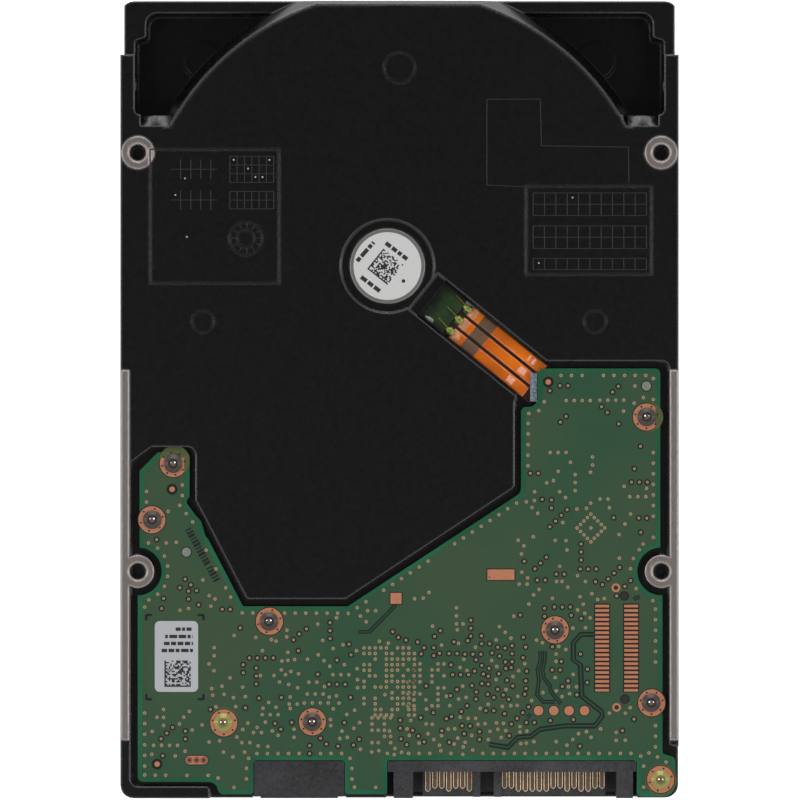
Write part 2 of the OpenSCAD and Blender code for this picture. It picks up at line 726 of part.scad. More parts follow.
module spindle_hub() {
    color(ALUMINIUM) difference() {
        union() {
            disc(spindle, hub_wall_r, hub_bottom, stack_top + EPS);
            disc(spindle, flange_r, stack_top, stack_top + 0.6);
        }
        difference() {
            disc(spindle, hub_wall_r - hub_wall_t, hub_bottom + hub_plate_t, body_h);
            disc(spindle, sleeve_r, 0, body_h);
        }
        disc(spindle, shaft_r + 0.04, 0, body_h);
        ring(spindle, shaft_r, sleeve_r + EPS, stack_top + 0.5, body_h);
        for (i = [0 : clamp_screw_n - 1])
            disc(clamp_screw_spot(i), clamp_screw_r, 0, hub_bottom + hub_plate_t + 1);
    }
}
module rotor_magnet() {
    r = hub_wall_r - hub_wall_t;
    color("dimgray") ring(spindle, r - 0.75, r, stator_z - 2, stator_z + stator_h + 2);
}
module platter(i) {
    z = stack_bottom + (i - 1) * platter_pitch;
    color([0.85, 0.85, 0.86]) ring(spindle, platter_bore_r, platter_r, z, z + platter_t);
}
module platter_spacers() {
    color(STEEL) for (i = [0 : platter_n - 2])
        ring(spindle, platter_bore_r, flange_r - 0.2, stack_bottom + i * platter_pitch + platter_t,
             stack_bottom + (i + 1) * platter_pitch);
}
clamp_t = 1.1;
clamp_screw_n = 6;
clamp_screw_r = 0.9;
function clamp_screw_spot(i) = spindle + 8 * [cos(60 * i), sin(60 * i)];
module disk_clamp() {
    color(STEEL) {
        difference() {
            disc(spindle, flange_r - 0.2, hub_bottom - clamp_t, hub_bottom);
            disc(spindle, 3.4, 0, body_h);
            for (i = [0 : clamp_screw_n - 1])
                disc(clamp_screw_spot(i), clamp_screw_r + 0.1, 0, body_h);
        }
        ring(spindle, platter_bore_r, flange_r - 0.2, hub_bottom - EPS, stack_bottom);
    }
}
module clamp_screws() {
    color("dimgray") for (i = [0 : clamp_screw_n - 1]) {
        at = clamp_screw_spot(i);
        disc(at, 1.6, hub_bottom - clamp_t - 0.7, hub_bottom - clamp_t);
        disc(at, clamp_screw_r - 0.02, hub_bottom - clamp_t - EPS, hub_bottom + hub_plate_t);
    }
}

// ---------- Motor flex in the deck's channel ----------
flex_z = deck_z - channel_drop;
flex_t = 0.2;
flex_w = 7.6;
trace_pitch = 2.6;
module motor_flex() {
    color("chocolate") difference() {
        along_channel() translate([9, -flex_w / 2, flex_z]) cube([20.5, flex_w, flex_t]);
        plate(grown(board_outline, 0.3), flex_z - 1, flex_z + flex_t + EPS);
        block([pad_x, front, 0], [right, front + 77.5, body_h]);
    }
}
// Sealant over the three solder joints at the motor's end of the flex
module motor_flex_solder() {
    color("olivedrab") {
        along_channel() translate([3.4, -flex_w / 2, flex_z]) cube([5.5, flex_w, 0.45]);
        for (i = [-1 : 1])
            along_channel() translate([9.9, i * trace_pitch - 0.4, flex_z + flex_t])
                cylinder(r1 = 0.75, r2 = 0.35, h = 0.35);
    }
}
// Foam that presses the flex's end against the board
pad_x = 23.8;
module flex_contact_pad() {
    color("slategray") {
        block([24.3, front + 72.2, recess_z], [29.1, front + 77.4, board_z]);
        block([pad_x, front + 72.2, flex_z], [25.05, front + 77.4, flex_z + 0.7]);
    }
}

// ---------- Actuator ----------
arm_n = platter_n + 1;
arm_gap = platter_pitch - platter_t;
arm_low = stack_bottom - arm_gap / 2;                 // centre height of the first arm
arm_high = arm_low + (arm_n - 1) * platter_pitch;
block_low = arm_low - arm_t / 2;
block_high = arm_high + arm_t / 2;
block_r = 8.2;
arm_reach = 33;          // full thickness of an arm ends here
tongue_reach = 38.5;     // the thinned tip ends here
tongue_half = 0.25;
beam_t = 0.1;
// The swinging assembly, its arms along +X, turned to where they park
module at_pivot(angle = park_angle) {
    translate([pivot[0], pivot[1], 0]) rotate([0, 0, angle]) children();
}
function arm_z(j) = arm_low + j * platter_pitch;
arm_outline = [[0, -7], [arm_reach, -3.4], [arm_reach, 3.4], [0, 7]];
arm_window = rounded([[13, -3.2, 1], [28, -1.6, 1], [28, 1.6, 1], [13, 3.2, 1]]);
module arm_block() {
    color(ALUMINIUM) at_pivot() difference() {
        union() {
            translate([0, 0, block_low]) cylinder(r = block_r, h = block_high - block_low);
            // the side that carries the preamplifier board
            block([-3, -8.8, block_low + 1.5], [11, -4, block_high - 1.5]);
            for (j = [0 : arm_n - 1]) {
                plate(arm_outline, arm_z(j) - arm_t / 2, arm_z(j) + arm_t / 2);
                plate([[arm_reach - 1, -2.8], [tongue_reach, -2.4], [tongue_reach, 2.4], [arm_reach - 1, 2.8]],
                      arm_z(j) - tongue_half, arm_z(j) + tongue_half);
            }
        }
        translate([0, 0, -EPS]) cylinder(r = cartridge_r, h = body_h);
        plate(arm_window, 0, body_h);
    }
}
module pivot_cartridge() {
    color(STEEL) ring(pivot, pivot_shaft_r + 0.05, cartridge_r, block_low - 0.3, block_high - 0.1);
}
module pivot_shaft() {
    color(STEEL) difference() {
        union() {
            disc(pivot, pivot_shaft_r, gasket_z, well_roof);
            disc(pivot, 3.4, gasket_z, block_low - 0.35);
            disc(pivot, 3.4, block_high - 0.05, well_roof);
        }
        disc(pivot, cover_screw_r + 0.03, 0, inner_cover_z + shaft_screw_length + 0.2);
    }
}
// Load beams on both faces of an arm's tip, except outside the outermost platters
beam_outline = [[arm_reach, -2.6], [tongue_reach + 1, -2.2], [head_reach - 1, -0.9],
                [head_reach + 0.8, -0.5], [head_reach + 3, -0.35], [head_reach + 3, 0.35],
                [head_reach + 0.8, 0.5], [head_reach - 1, 0.9], [tongue_reach + 1, 2.2],
                [arm_reach, 2.6]];
// Faces that carry a beam: arm number and side
beam_faces = [for (j = [0 : arm_n - 1], side = [-1, 1])
              if (!(j == 0 && side < 0) && !(j == arm_n - 1 && side > 0)) [j, side]];
module suspensions() {
    color(STEEL) at_pivot() for (f = beam_faces) {
        z = arm_z(f[0]) + f[1] * (tongue_half + beam_t / 2);
        plate(beam_outline, z - beam_t / 2, z + beam_t / 2);
    }
}
module head_sliders() {
    color("dimgray") at_pivot() for (f = beam_faces) {
        z = arm_z(f[0]) + f[1] * (tongue_half + beam_t + 0.07);
        block([head_reach - 0.6, -0.45, z - 0.07], [head_reach + 0.65, 0.45, z + 0.07]);
    }
}
preamp_low = [-3, -9.3, block_low + 2];
preamp_high = [11, -8.8, block_high - 2];
module preamp_board() {
    color(GREEN) at_pivot() {
        block(preamp_low, preamp_high);
        block([5, -10, 11], [9, -9.29, 15]);
    }
}

// ---------- Voice coil motor ----------
coil_z = 9.9;
coil_h = 3.6;
magnet_gap = 0.8;
magnet_t = 2;
yoke_t = 2.5;
upper_yoke_z = bay_roof - yoke_t;
lower_yoke_z = coil_z - magnet_gap - magnet_t - yoke_t;
swing = 33;
// A sector of a ring about the pivot, anticlockwise from angle a to angle b
function sector(r0, r1, a, b, n = 10) = concat(
    [for (i = [0 : n]) pivot + r1 * [cos(a + (b - a) * i / n), sin(a + (b - a) * i / n)]],
    [for (i = [n : -1 : 0]) pivot + r0 * [cos(a + (b - a) * i / n), sin(a + (b - a) * i / n)]]);
coil_outline = rounded([[-20, -5.9, 2], [-20, 5.9, 2], [-34.4, 9.9, 3], [-34.4, -9.9, 3]]);
coil_window = rounded([[-24.2, -2.9, 1], [-24.2, 2.9, 1], [-30.6, 4.6, 1], [-30.6, -4.6, 1]]);
frame_outline = [[-6, -6], [-6, 6], [-19, 6.8], [-34.2, 11.8], [-35.6, 6], [-36, 0],
                 [-35.6, -6], [-34.2, -11.8], [-19, -6.8]];
module voice_coil() {
    color(COPPER) at_pivot() difference() {
        plate(coil_outline, coil_z, coil_z + coil_h);
        plate(coil_window, 0, body_h);
    }
}
module coil_frame() {
    color(BLACK) at_pivot() difference() {
        plate(frame_outline, coil_z, coil_z + coil_h);
        plate(coil_outline, 0, body_h);
        cylinder(r = block_r, h = body_h);
    }
}
module yoke_plate(z) {
    intersection() {
        plate(sector(16, 37.5, 200, 298), z, z + yoke_t);
        block([left, bay_front + 0.2, 0], [right, pivot[1], body_h]);
    }
}
module upper_yoke() {
    color(STEEL) yoke_plate(upper_yoke_z);
}
latch = [-27, front + 17.5];
module lower_yoke() {
    color(STEEL) {
        yoke_plate(lower_yoke_z);
        for (a = [[201, 205.5], [292.5, 297]])
            plate(sector(22, 33, a[0], a[1], 2), lower_yoke_z + yoke_t - EPS, upper_yoke_z);
        // a tab beneath the latch
        block([latch[0] - 3, latch[1] - 1.5, lower_yoke_z], [latch[0] + 13, latch[1] + 5, lower_yoke_z + yoke_t]);
    }
}
module coil_magnets() {
    color("silver") intersection() {
        for (z = [lower_yoke_z + yoke_t, upper_yoke_z - magnet_t], a = [[213.5, 248.8], [249.2, 284.5]])
            plate(sector(19, 36, a[0], a[1], 6), z, z + (z > coil_z ? magnet_t : magnet_t));
        block([left, bay_front + 0.2, 0], [right, pivot[1], body_h]);
    }
}
// Rubber-sleeved pins that the coil frame meets at each end of its travel
stop_at = [park_angle + 180 - 21.9, park_angle + 180 + swing + 21.9];
module crash_stops() {
    color([0.15, 0.15, 0.15]) for (a = stop_at)
        disc(pivot + 30 * [cos(a), sin(a)], 1.2, lower_yoke_z + yoke_t, upper_yoke_z);
}

// ---------- Ramp, latch, filter and connector ----------
ramp_half = 0.23;
ramp_post = head_reach + 3.5;   // pivot to the ramp's post
module load_ramp() {
    color("ivory") intersection() {
        union() {
            plate(sector(ramp_post, head_reach + 7, park_angle - 4, park_angle + 2.5), block_low - 0.4, well_roof);
            for (j = [0 : arm_n - 1])
                plate(sector(head_reach + 1, ramp_post + 0.1, park_angle - 3, park_angle + 7),
                      arm_z(j) - ramp_half, arm_z(j) + ramp_half);
        }
        block([0, front, 0], [right - 1.6, rear, body_h]);
    }
}
latch_pin_r = 1.2;
latch_low = lower_yoke_z + yoke_t;
latch_high = coil_z + coil_h;
module latch_post() {
    disc(latch, latch_pin_r, latch_low, bay_roof);
    disc(latch, 2.4, latch_high + 0.1, bay_roof + 0.5);
}
module latch_lever() {
    color("ivory") difference() {
        union() {
            disc(latch, 2.4, latch_low + 0.1, latch_high);
            block([latch[0], latch[1] - 1.1, coil_z], [latch[0] + 6.5, latch[1] + 1.1, latch_high]);
            block([latch[0] + 4.9, latch[1] - 1.1, coil_z], [latch[0] + 6.5, latch[1] + 2.6, latch_high]);
            block([latch[0] - 6.5, latch[1] - 1.1, coil_z], [latch[0], latch[1] + 1.1, latch_high]);
            disc(latch - [7, 0], 2.4, coil_z, latch_high);
        }
        disc(latch, latch_pin_r + 0.05, 0, body_h);
    }
}
module air_filter() {
    color("white") translate([-36, front + 44, cavity_z + 1]) rotate([0, 0, -35])
        translate([-6, -1.5, 0]) cube([12, 3, bay_roof - cavity_z - 1]);
}
module desiccant_pack() {
    color("whitesmoke") block([bay_left + 1, front + 24, cavity_z + 5], [bay_left + 9, front + 37, bay_roof]);
}
flange_z = bay_roof - 1.4;
module feedthrough_connector() {
    x = feedthrough_size[0] / 2;
    y = feedthrough_size[1] / 2;
    color(BLACK) {
        block([feedthrough[0] - x, feedthrough[1] - y, flange_z], [feedthrough[0] + x, feedthrough[1] + y, board_z]);
        block([feedthrough[0] - x - 1, feedthrough[1] - y - 1, flange_z],
              [feedthrough[0] + x + 1, feedthrough[1] + y + 1, bay_roof]);
    }
}
bracket_low = flange_z - 1.2;
module flex_bracket() {
    x = feedthrough_size[0] / 2;
    y = feedthrough_size[1] / 2;
    color(STEEL) block([feedthrough[0] - x - 2.2, feedthrough[1] - y - 1, bracket_low],
                       [feedthrough[0] + x + 1.7, feedthrough[1] + y + 1, flange_z]);
}
// The strip that loops from the preamplifier board to the bracket
flex_path = [[23.87, front + 38], [25.6, front + 35.6], [28.2, front + 32.6], [30.4, front + 28.6],
             [32, front + 25.8], [34, front + 25]];
flex_strip_t = 0.12;
function strip(path, t) =
    let (n = len(path),
         normals = [for (i = [0 : n - 1])
                    let (d = unit(path[min(n - 1, i + 1)] - path[max(0, i - 1)])) [-d[1], d[0]]])
    concat([for (i = [0 : n - 1]) path[i] - normals[i] * t / 2],
           [for (i = [n - 1 : -1 : 0]) path[i] + normals[i] * t / 2]);
module flex_loop() {
    color("chocolate") difference() {
        plate(strip(flex_path, flex_strip_t), 9, bracket_low);
        at_pivot() block([-20, -9.3, 0], [20, 20, body_h]);
    }
}

// ---------- The part ----------
base_casting();
outer_cover();
cover_label();
inner_cover();
cover_gasket();
cover_screws();
circuit_board();
board_screws();
board_screws_brass();
board_label();
board_insulator();
controller_chip();
memory_chip();
motor_driver_chip();
board_components();
plug_housing();
plug_signal_contacts();
plug_power_contacts();
service_port_block();
motor_bracket();
motor_label();
motor_flex();
motor_flex_solder();
flex_contact_pad();
spindle_shaft();
stator_core();
stator_windings();
feedthrough_connector();
flex_bracket();
flex_loop();
upper_yoke();
lower_yoke();
coil_magnets();
pivot_shaft();
load_ramp();
crash_stops();
air_filter();
desiccant_pack();
spindle_hub();
rotor_magnet();
platter_spacers();
disk_clamp();
clamp_screws();
arm_block();
pivot_cartridge();
voice_coil();
coil_frame();
suspensions();
head_sliders();
preamp_board();
latch_lever();
for (i = [1 : platter_n])
    platter(i);
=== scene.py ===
"""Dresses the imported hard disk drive: materials for every CAD node, and the copper, vias, print,
sockets, flex and mould marks that show on its board side. Everything is in the CAD's frame."""
import math
import random

import bmesh
import bpy
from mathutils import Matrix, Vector


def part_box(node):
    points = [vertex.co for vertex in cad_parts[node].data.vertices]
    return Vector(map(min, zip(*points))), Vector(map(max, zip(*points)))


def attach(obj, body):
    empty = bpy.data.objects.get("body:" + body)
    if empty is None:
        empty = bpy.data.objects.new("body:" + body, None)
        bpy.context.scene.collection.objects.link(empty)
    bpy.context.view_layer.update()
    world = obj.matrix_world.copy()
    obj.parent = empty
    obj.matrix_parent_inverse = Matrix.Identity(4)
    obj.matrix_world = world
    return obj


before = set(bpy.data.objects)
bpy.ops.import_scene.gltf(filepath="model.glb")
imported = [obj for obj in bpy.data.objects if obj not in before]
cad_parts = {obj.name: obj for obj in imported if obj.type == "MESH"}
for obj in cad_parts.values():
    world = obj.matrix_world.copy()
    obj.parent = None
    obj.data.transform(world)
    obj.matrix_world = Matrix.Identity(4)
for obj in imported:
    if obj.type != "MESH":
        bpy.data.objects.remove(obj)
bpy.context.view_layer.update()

MM = 0.001

# Heights of the CAD's main faces, in metres
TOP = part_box("base_casting")[1][2]
BOARD_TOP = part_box("circuit_board")[1][2]
DECK = TOP - 0.3 * MM
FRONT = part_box("base_casting")[0][1]


# ---------- Photograph to frame ----------
PX_PER_MM = 5.497
PX_MIDDLE = 399.5         # the pixel column of the part's middle
PX_FRONT = 798.4          # the pixel row of its plug end


def at_px(x, y):
    """A pixel of the photograph as frame x and y in metres."""
    return ((x - PX_MIDDLE) / PX_PER_MM * MM, FRONT + (PX_FRONT - y) / PX_PER_MM * MM)


# ---------- Shader graphs ----------
class Graph:
    """A material's node tree with short calls for the nodes used here."""

    def __init__(self, name, color=(0.5, 0.5, 0.5), rough=0.5, metal=0.0, **inputs):
        self.mat = bpy.data.materials.new(name)
        self.mat.use_nodes = True
        self.tree = self.mat.node_tree
        self.tree.nodes.clear()
        self.bsdf = self.tree.nodes.new("ShaderNodeBsdfPrincipled")
        out = self.tree.nodes.new("ShaderNodeOutputMaterial")
        self.tree.links.new(self.bsdf.outputs[0], out.inputs[0])
        self.set(self.bsdf, "Base Color", color)
        self.set(self.bsdf, "Roughness", rough)
        self.set(self.bsdf, "Metallic", metal)
        for key, value in inputs.items():
            self.set(self.bsdf, key.replace("_", " "), value)
        self.mat.diffuse_color = (*color[:3], 1) if isinstance(color, tuple) else (0.5, 0.5, 0.5, 1)

    def set(self, node, key, value):
        socket = node.inputs[key]
        if isinstance(value, bpy.types.NodeSocket):
            self.tree.links.new(value, socket)
        elif isinstance(value, tuple) and len(value) == 3 and socket.type == "RGBA":
            socket.default_value = (*value, 1)
        else:
            socket.default_value = value

    def node(self, kind, inputs=(), **props):
        n = self.tree.nodes.new(kind)
        for key, value in props.items():
            setattr(n, key, value)
        for key, value in dict(inputs).items():
            self.set(n, key, value)
        return n

    def place(self):
        """Object coordinates: the node's own frame, in metres."""
        return self.node("ShaderNodeTexCoord").outputs["Object"]

    def scaled(self, factors):
        inputs = {0: self.place(), 1: factors}
        return self.node("ShaderNodeVectorMath", inputs, operation="MULTIPLY").outputs[0]

    def look(self, key, value):
        """One input of the surface shader."""
        self.set(self.bsdf, key, value)

    def math(self, op, a, b=0.0):
        return self.node("ShaderNodeMath", {0: a, 1: b}, operation=op).outputs[0]

    def plus(self, a, b):
        return self.math("ADD", a, b)

    def minus(self, a, b):
        return self.math("SUBTRACT", a, b)

    def times(self, a, b):
        return self.math("MULTIPLY", a, b)

    def above(self, a, b):
        return self.math("GREATER_THAN", a, b)

    def below(self, a, b):
        return self.math("LESS_THAN", a, b)

    def most(self, a, b):
        return self.math("MAXIMUM", a, b)

    def squares(self, a, b):
        return self.plus(self.times(a, a), self.times(b, b))

    def xyz(self):
        return self.node("ShaderNodeSeparateXYZ", {0: self.place()}).outputs

    def noise(self, scale, detail=2.0, rough=0.5, vector=None):
        return self.node("ShaderNodeTexNoise", {"Vector": vector or self.place(), "Scale": scale,
                                                "Detail": detail, "Roughness": rough}).outputs[0]

    def ramp(self, value, *stops):
        """A colour ramp with (position, colour) stops."""
        n = self.node("ShaderNodeValToRGB", {0: value})
        while len(n.color_ramp.elements) < len(stops):
            n.color_ramp.elements.new(0.5)
        for element, (position, color) in zip(n.color_ramp.elements, stops):
            element.position = position
            element.color = (*color, 1)
        return n.outputs[0]

    def span(self, value, low, high, to_low=0.0, to_high=1.0):
        """A value remapped from one span to another, and held inside it."""
        return self.node("ShaderNodeMapRange", {0: value, 1: low, 2: high, 3: to_low, 4: to_high}).outputs[0]

    def mix(self, factor, a, b):
        return self.node("ShaderNodeMix", {0: factor, 6: a, 7: b}, data_type="RGBA").outputs[2]

    def mix_value(self, factor, a, b):
        return self.node("ShaderNodeMix", {0: factor, 2: a, 3: b}, data_type="FLOAT").outputs[0]

    def bump(self, height, depth, strength=1.0, rounded=None):
        """Bump from a height in 0..1 over a depth in metres, on edges rounded to a radius."""
        inputs = {"Height": height, "Distance": depth, "Strength": strength}
        if rounded is not None:
            inputs["Normal"] = self.node("ShaderNodeBevel", {"Radius": rounded}, samples=6).outputs[0]
        self.set(self.bsdf, "Normal", self.node("ShaderNodeBump", inputs).outputs[0])
        return self

    def reach(self, c, at):
        """The square of the distance from an upright axis, out of the place's coordinates."""
        return self.squares(self.minus(c[0], at[0]), self.minus(c[1], at[1]))

    def grained(self, level, color, dark, depth, strength, rounded=None, low=0.3, high=0.7):
        """A colour that darkens to a share of itself, and a bump in millimetres, by one pattern."""
        self.look("Base Color", self.ramp(level, (low, tuple(v * dark for v in color)), (high, color)))
        return self.bump(level, depth * MM, strength, rounded).mat


# ---------- Materials ----------
HOLE_X = 47.625 * MM
HOLE_YS = (FRONT + 41.28 * MM, FRONT + 117.48 * MM)
SIDE_HOLE_YS = (FRONT + 28.5 * MM, FRONT + 130.1 * MM)
SIDE_HOLE_Z = TOP - 6.35 * MM
HOLE_RADIUS = 1.86 * MM
SIDE_HOLE_RADIUS = 1.45 * MM
BULGE = (-0.3 * MM, FRONT + 99.7 * MM)
BULGE_RADIUS = 46.4 * MM
BULGE_RIM = 1.9 * MM          # half the width of the band where its edge rolls over


def casting():
    """Black electrocoat, with bare metal on the machined strips, spot-faces and in the holes."""
    g = Graph("electrocoat", rough=0.26)
    c = g.xyz()
    machined = g.above(c[2], TOP - 0.02 * MM)
    # the bottom holes are bare only in their mouths
    mouth = g.above(c[2], TOP - 1.2 * MM)
    for x in (-HOLE_X, HOLE_X):
        for y in HOLE_YS:
            bore = g.below(g.reach(c, (x, y)), HOLE_RADIUS ** 2)
            machined = g.most(machined, g.times(mouth, bore))
    dz = g.minus(c[2], SIDE_HOLE_Z)
    for y in SIDE_HOLE_YS:
        machined = g.most(machined, g.below(g.squares(g.minus(c[1], y), dz), SIDE_HOLE_RADIUS ** 2))
    # arcs left by the milling cutter, broken up along their length
    wander = g.noise(260, 2)
    along = g.plus(g.times(c[0], 9500), g.times(c[1], 13500))
    arcs = g.math("SINE", g.plus(along, g.times(wander, 7)))
    scratches = g.noise(1.0, 4, 0.7, g.scaled((5200, 900, 1)))
    cut = g.plus(g.times(arcs, 0.22), scratches)
    metal = g.ramp(cut, (0.25, (0.258, 0.217, 0.201)), (0.55, (0.403, 0.355, 0.331)),
                   (0.85, (0.57, 0.52, 0.493)))
    coat = g.ramp(g.noise(1800, 2), (0.3, (0.0018, 0.0018, 0.0018)), (0.7, (0.0024, 0.0024, 0.0024)))
    g.look("Base Color", g.mix(machined, coat, metal))
    g.look("Metallic", machined)
    peel = g.noise(2600, 2)
    # the bulge's far edge rolls over more softly than the other edges
    from_rim = g.minus(g.math("SQRT", g.reach(c, BULGE)), BULGE_RADIUS)
    rim = g.below(g.math("ABSOLUTE", from_rim), BULGE_RIM)
    rim = g.times(rim, g.above(c[1], BULGE[1] + 20 * MM))
    rim = g.times(rim, g.above(c[2], TOP - 3 * MM))
    rounding = g.mix_value(rim, 0.6 * MM, 1.2 * MM)
    # the coat is thicker and glossier where it rolls over an edge
    normals = {0: g.node("ShaderNodeBevel", {"Radius": rounding}, samples=6).outputs[0],
               1: g.node("ShaderNodeNewGeometry").outputs["True Normal"]}
    turned_by = g.node("ShaderNodeVectorMath", normals, operation="DOT_PRODUCT").outputs["Value"]
    edge = g.times(g.span(turned_by, 0.995, 0.93), g.minus(1, machined))
    g.look("Specular IOR Level", g.span(edge, 0, 1, 0.5, 1.0))
    g.look("Coat Weight", edge)
    g.look("Coat Roughness", 0.2)
    g.look("Roughness", g.mix_value(machined, g.span(g.noise(900, 2), 0.3, 0.7, 0.24, 0.28), 0.38))
    g.bump(g.mix_value(machined, peel, cut), 0.012 * MM, 0.5, rounding)
    return g.mat


def brushed(name, color, rough=0.34, stretch=(9000, 700, 700), depth=0.006, rounded=0.1):
    """Metal with a fine directional grain."""
    g = Graph(name, color, rough, 1.0)
    grain = g.noise(1.0, 4, 0.65, g.scaled(stretch))
    g.look("Roughness", g.span(grain, 0.3, 0.7, rough - 0.07, rough + 0.07))
    return g.grained(grain, color, 0.78, depth, 0.6, rounded * MM)


def turned(name, color, rough, at, rounded=0.1):
    """Metal turned on a lathe: fine rings about an upright axis."""
    g = Graph(name, color, rough, 1.0)
    c = g.xyz()
    r = g.math("SQRT", g.reach(c, at))
    uneven = g.noise(1200, 2)
    rings = g.math("SINE", g.plus(g.times(r, 42000), g.times(uneven, 5)))
    return g.grained(g.span(rings, -1, 1), color, 0.8, 0.004, 0.5, rounded * MM, 0.0, 1.0)


def plastic(name, dark, light, rough=0.5, speck=2400, depth=0.02, rounded=0.15, **inputs):
    """Moulded plastic whose filler shows as specks between two colours."""
    g = Graph(name, light, rough, **inputs)
    fine = g.noise(speck, 3, 0.7)
    broad = g.noise(speck / 14, 2)
    both = g.plus(g.times(fine, 0.65), g.times(broad, 0.35))
    g.look("Base Color", g.ramp(both, (0.38, dark), (0.62, light)))
    g.look("Roughness", g.span(fine, 0.3, 0.7, rough - 0.08, rough + 0.08))
    return g.bump(fine, depth * MM, 0.5, rounded * MM).mat


def paper(name, color):
    """Smooth label stock with a faint fibre."""
    g = Graph(name, color, 0.38, Coat_Weight=0.15, Coat_Roughness=0.25)
    return g.grained(g.noise(1.0, 4, 0.6, g.scaled((2600, 5200, 2600))), color, 0.95, 0.006, 0.4)


def printed_label(name, color):
    """Label stock with plain short bars and stripes where a drive's label has its print."""
    g = Graph(name, color, 0.38, Coat_Weight=0.15, Coat_Roughness=0.25)
    c = g.xyz()

    def within(value, low, high):
        return g.times(g.above(value, low * MM), g.below(value, high * MM))

    def block(x0, x1, y0, y1):
        return g.times(within(c[0], x0, x1), within(c[1], y0, y1))

    def runs(per_metre, row):
        at = g.node("ShaderNodeCombineXYZ", {0: g.times(c[0], per_metre), 1: row})
        return g.above(g.noise(1.0, 1, 0.5, at.outputs[0]), 0.47)

    rows = g.times(c[1], 290)
    line = g.above(g.math("FRACT", rows), 0.55)
    words = g.times(line, runs(520, g.times(g.math("FLOOR", rows), 9.7)))
    stripes = runs(3600, 3.3)
    ink = 0
    for pattern, area in ((words, (-36, 4, -46, 30)), (words, (12, 36, -46, -18)),
                          (stripes, (-36, 8, 38, 47)), (stripes, (14, 36, 0, 8))):
        ink = g.most(ink, g.times(pattern, block(*area)))
    g.look("Base Color", g.mix(ink, (*color, 1), (0.012, 0.012, 0.013, 1)))
    return g.bump(g.noise(2600, 3), 0.006 * MM, 0.4).mat


def laminate():
    """Green solder mask over bare laminate, with the weave of the glass just showing."""
    g = Graph("solder_mask_edge", rough=0.3)
    weave = g.times(*(g.math("SINE", g.times(g.xyz()[i], 14000)) for i in (0, 1)))
    cloud = g.noise(60, 3)
    level = g.plus(g.times(weave, 0.06), cloud)
    color = g.ramp(level, (0.35, (0.008, 0.084, 0.036)), (0.65, (0.014, 0.120, 0.052)))
    edge = g.below(g.xyz()[2], BOARD_TOP - 0.12 * MM)
    g.look("Base Color", g.mix(edge, color, (0.05, 0.085, 0.035)))
    return g.bump(g.span(weave, -1, 1), 0.004 * MM, 0.3, 0.12 * MM).mat


def copper_plane():
    """Solder mask over the copper planes: greyer and lighter than the bare laminate."""
    g = Graph("solder_mask_plane", rough=0.34)
    broad = g.noise(38, 2, 0.45)
    fine = g.noise(1500, 3, 0.6)
    level = g.plus(broad, g.times(g.minus(fine, 0.5), 0.22))
    g.look("Base Color", g.ramp(level, (0.34, (0.018, 0.071, 0.035)), (0.47, (0.026, 0.073, 0.036)),
                                       (0.62, (0.037, 0.075, 0.036))))
    return g.bump(fine, 0.006 * MM, 0.35).mat


def copper(name, color):
    """Bare copper pad, slightly dulled."""
    g = Graph(name, color, 0.42, 0.35)
    return g.grained(g.noise(900, 3, 0.6), color, 0.88, 0.004, 0.4)


def polyimide():
    """Glossy amber film over copper."""
    g = Graph("polyimide", rough=0.2, Coat_Weight=1.0, Coat_Roughness=0.07)
    cloud = g.noise(160, 3)
    fine = g.noise(2200, 2)
    level = g.plus(cloud, g.times(g.minus(fine, 0.5), 0.15))
    g.look("Base Color", g.ramp(level, (0.3, (0.48, 0.090, 0.0015)), (0.7, (0.76, 0.170, 0.003))))
    return g.bump(g.noise(240, 2), 0.02 * MM, 0.3).mat


def foam(name, dark, light, scale=1500):
    """Open-cell foam: round cells with pale walls, and painted shade that darkens the hollow of each cell.
    """
    g = Graph(name, light, 0.85)
    cells = g.node("ShaderNodeTexVoronoi", {"Vector": g.place(), "Scale": scale}).outputs[0]
    # painted shade: the colour falls to the dark one at each cell's centre, where the bump dips
    g.look("Base Color", g.ramp(cells, (0.1, dark), (0.55, light)))
    return g.bump(cells, 0.25 * MM, 0.9).mat


def polished(name, color):
    """A disk's polished coating, with the faintest tracks."""
    g = Graph(name, color, 0.05, 1.0)
    c = g.xyz()
    squared = g.squares(c[0], c[1])
    tracks = g.noise(1.0, 2, 0.5, g.node("ShaderNodeCombineXYZ", {0: g.times(squared, 4e5)}).outputs[0])
    g.look("Roughness", g.span(tracks, 0.3, 0.7, 0.03, 0.08))
    return g.bump(tracks, 0.0005 * MM, 0.2).mat


def wound(name, color):
    """Enamelled wire laid side by side, with painted shade in the grooves between the wires."""
    g = Graph(name, color, 0.3, 0.9, Coat_Weight=0.5, Coat_Roughness=0.1)
    wires = g.span(g.math("SINE", g.times(g.xyz()[2], 26000)), -1, 1)
    # painted shade: the colour falls to about a third of itself in the grooves, where the bump dips
    return g.grained(wires, color, 0.35, 0.08, 0.8, None, 0.0, 0.6)


def flat(name, color, rough=0.5, metal=0.0, grain=1500, vary=0.12, depth=0.004, **inputs):
    """One colour with a fine uneven grain."""
    g = Graph(name, color, rough, metal, **inputs)
    level = g.noise(grain, 3, 0.6)
    g.look("Base Color", g.ramp(level, (0.3, tuple(v * (1 - vary) for v in color)),
                                       (0.7, tuple(min(1, v * (1 + vary)) for v in color))))
    return g.bump(level, depth * MM, 0.4).mat


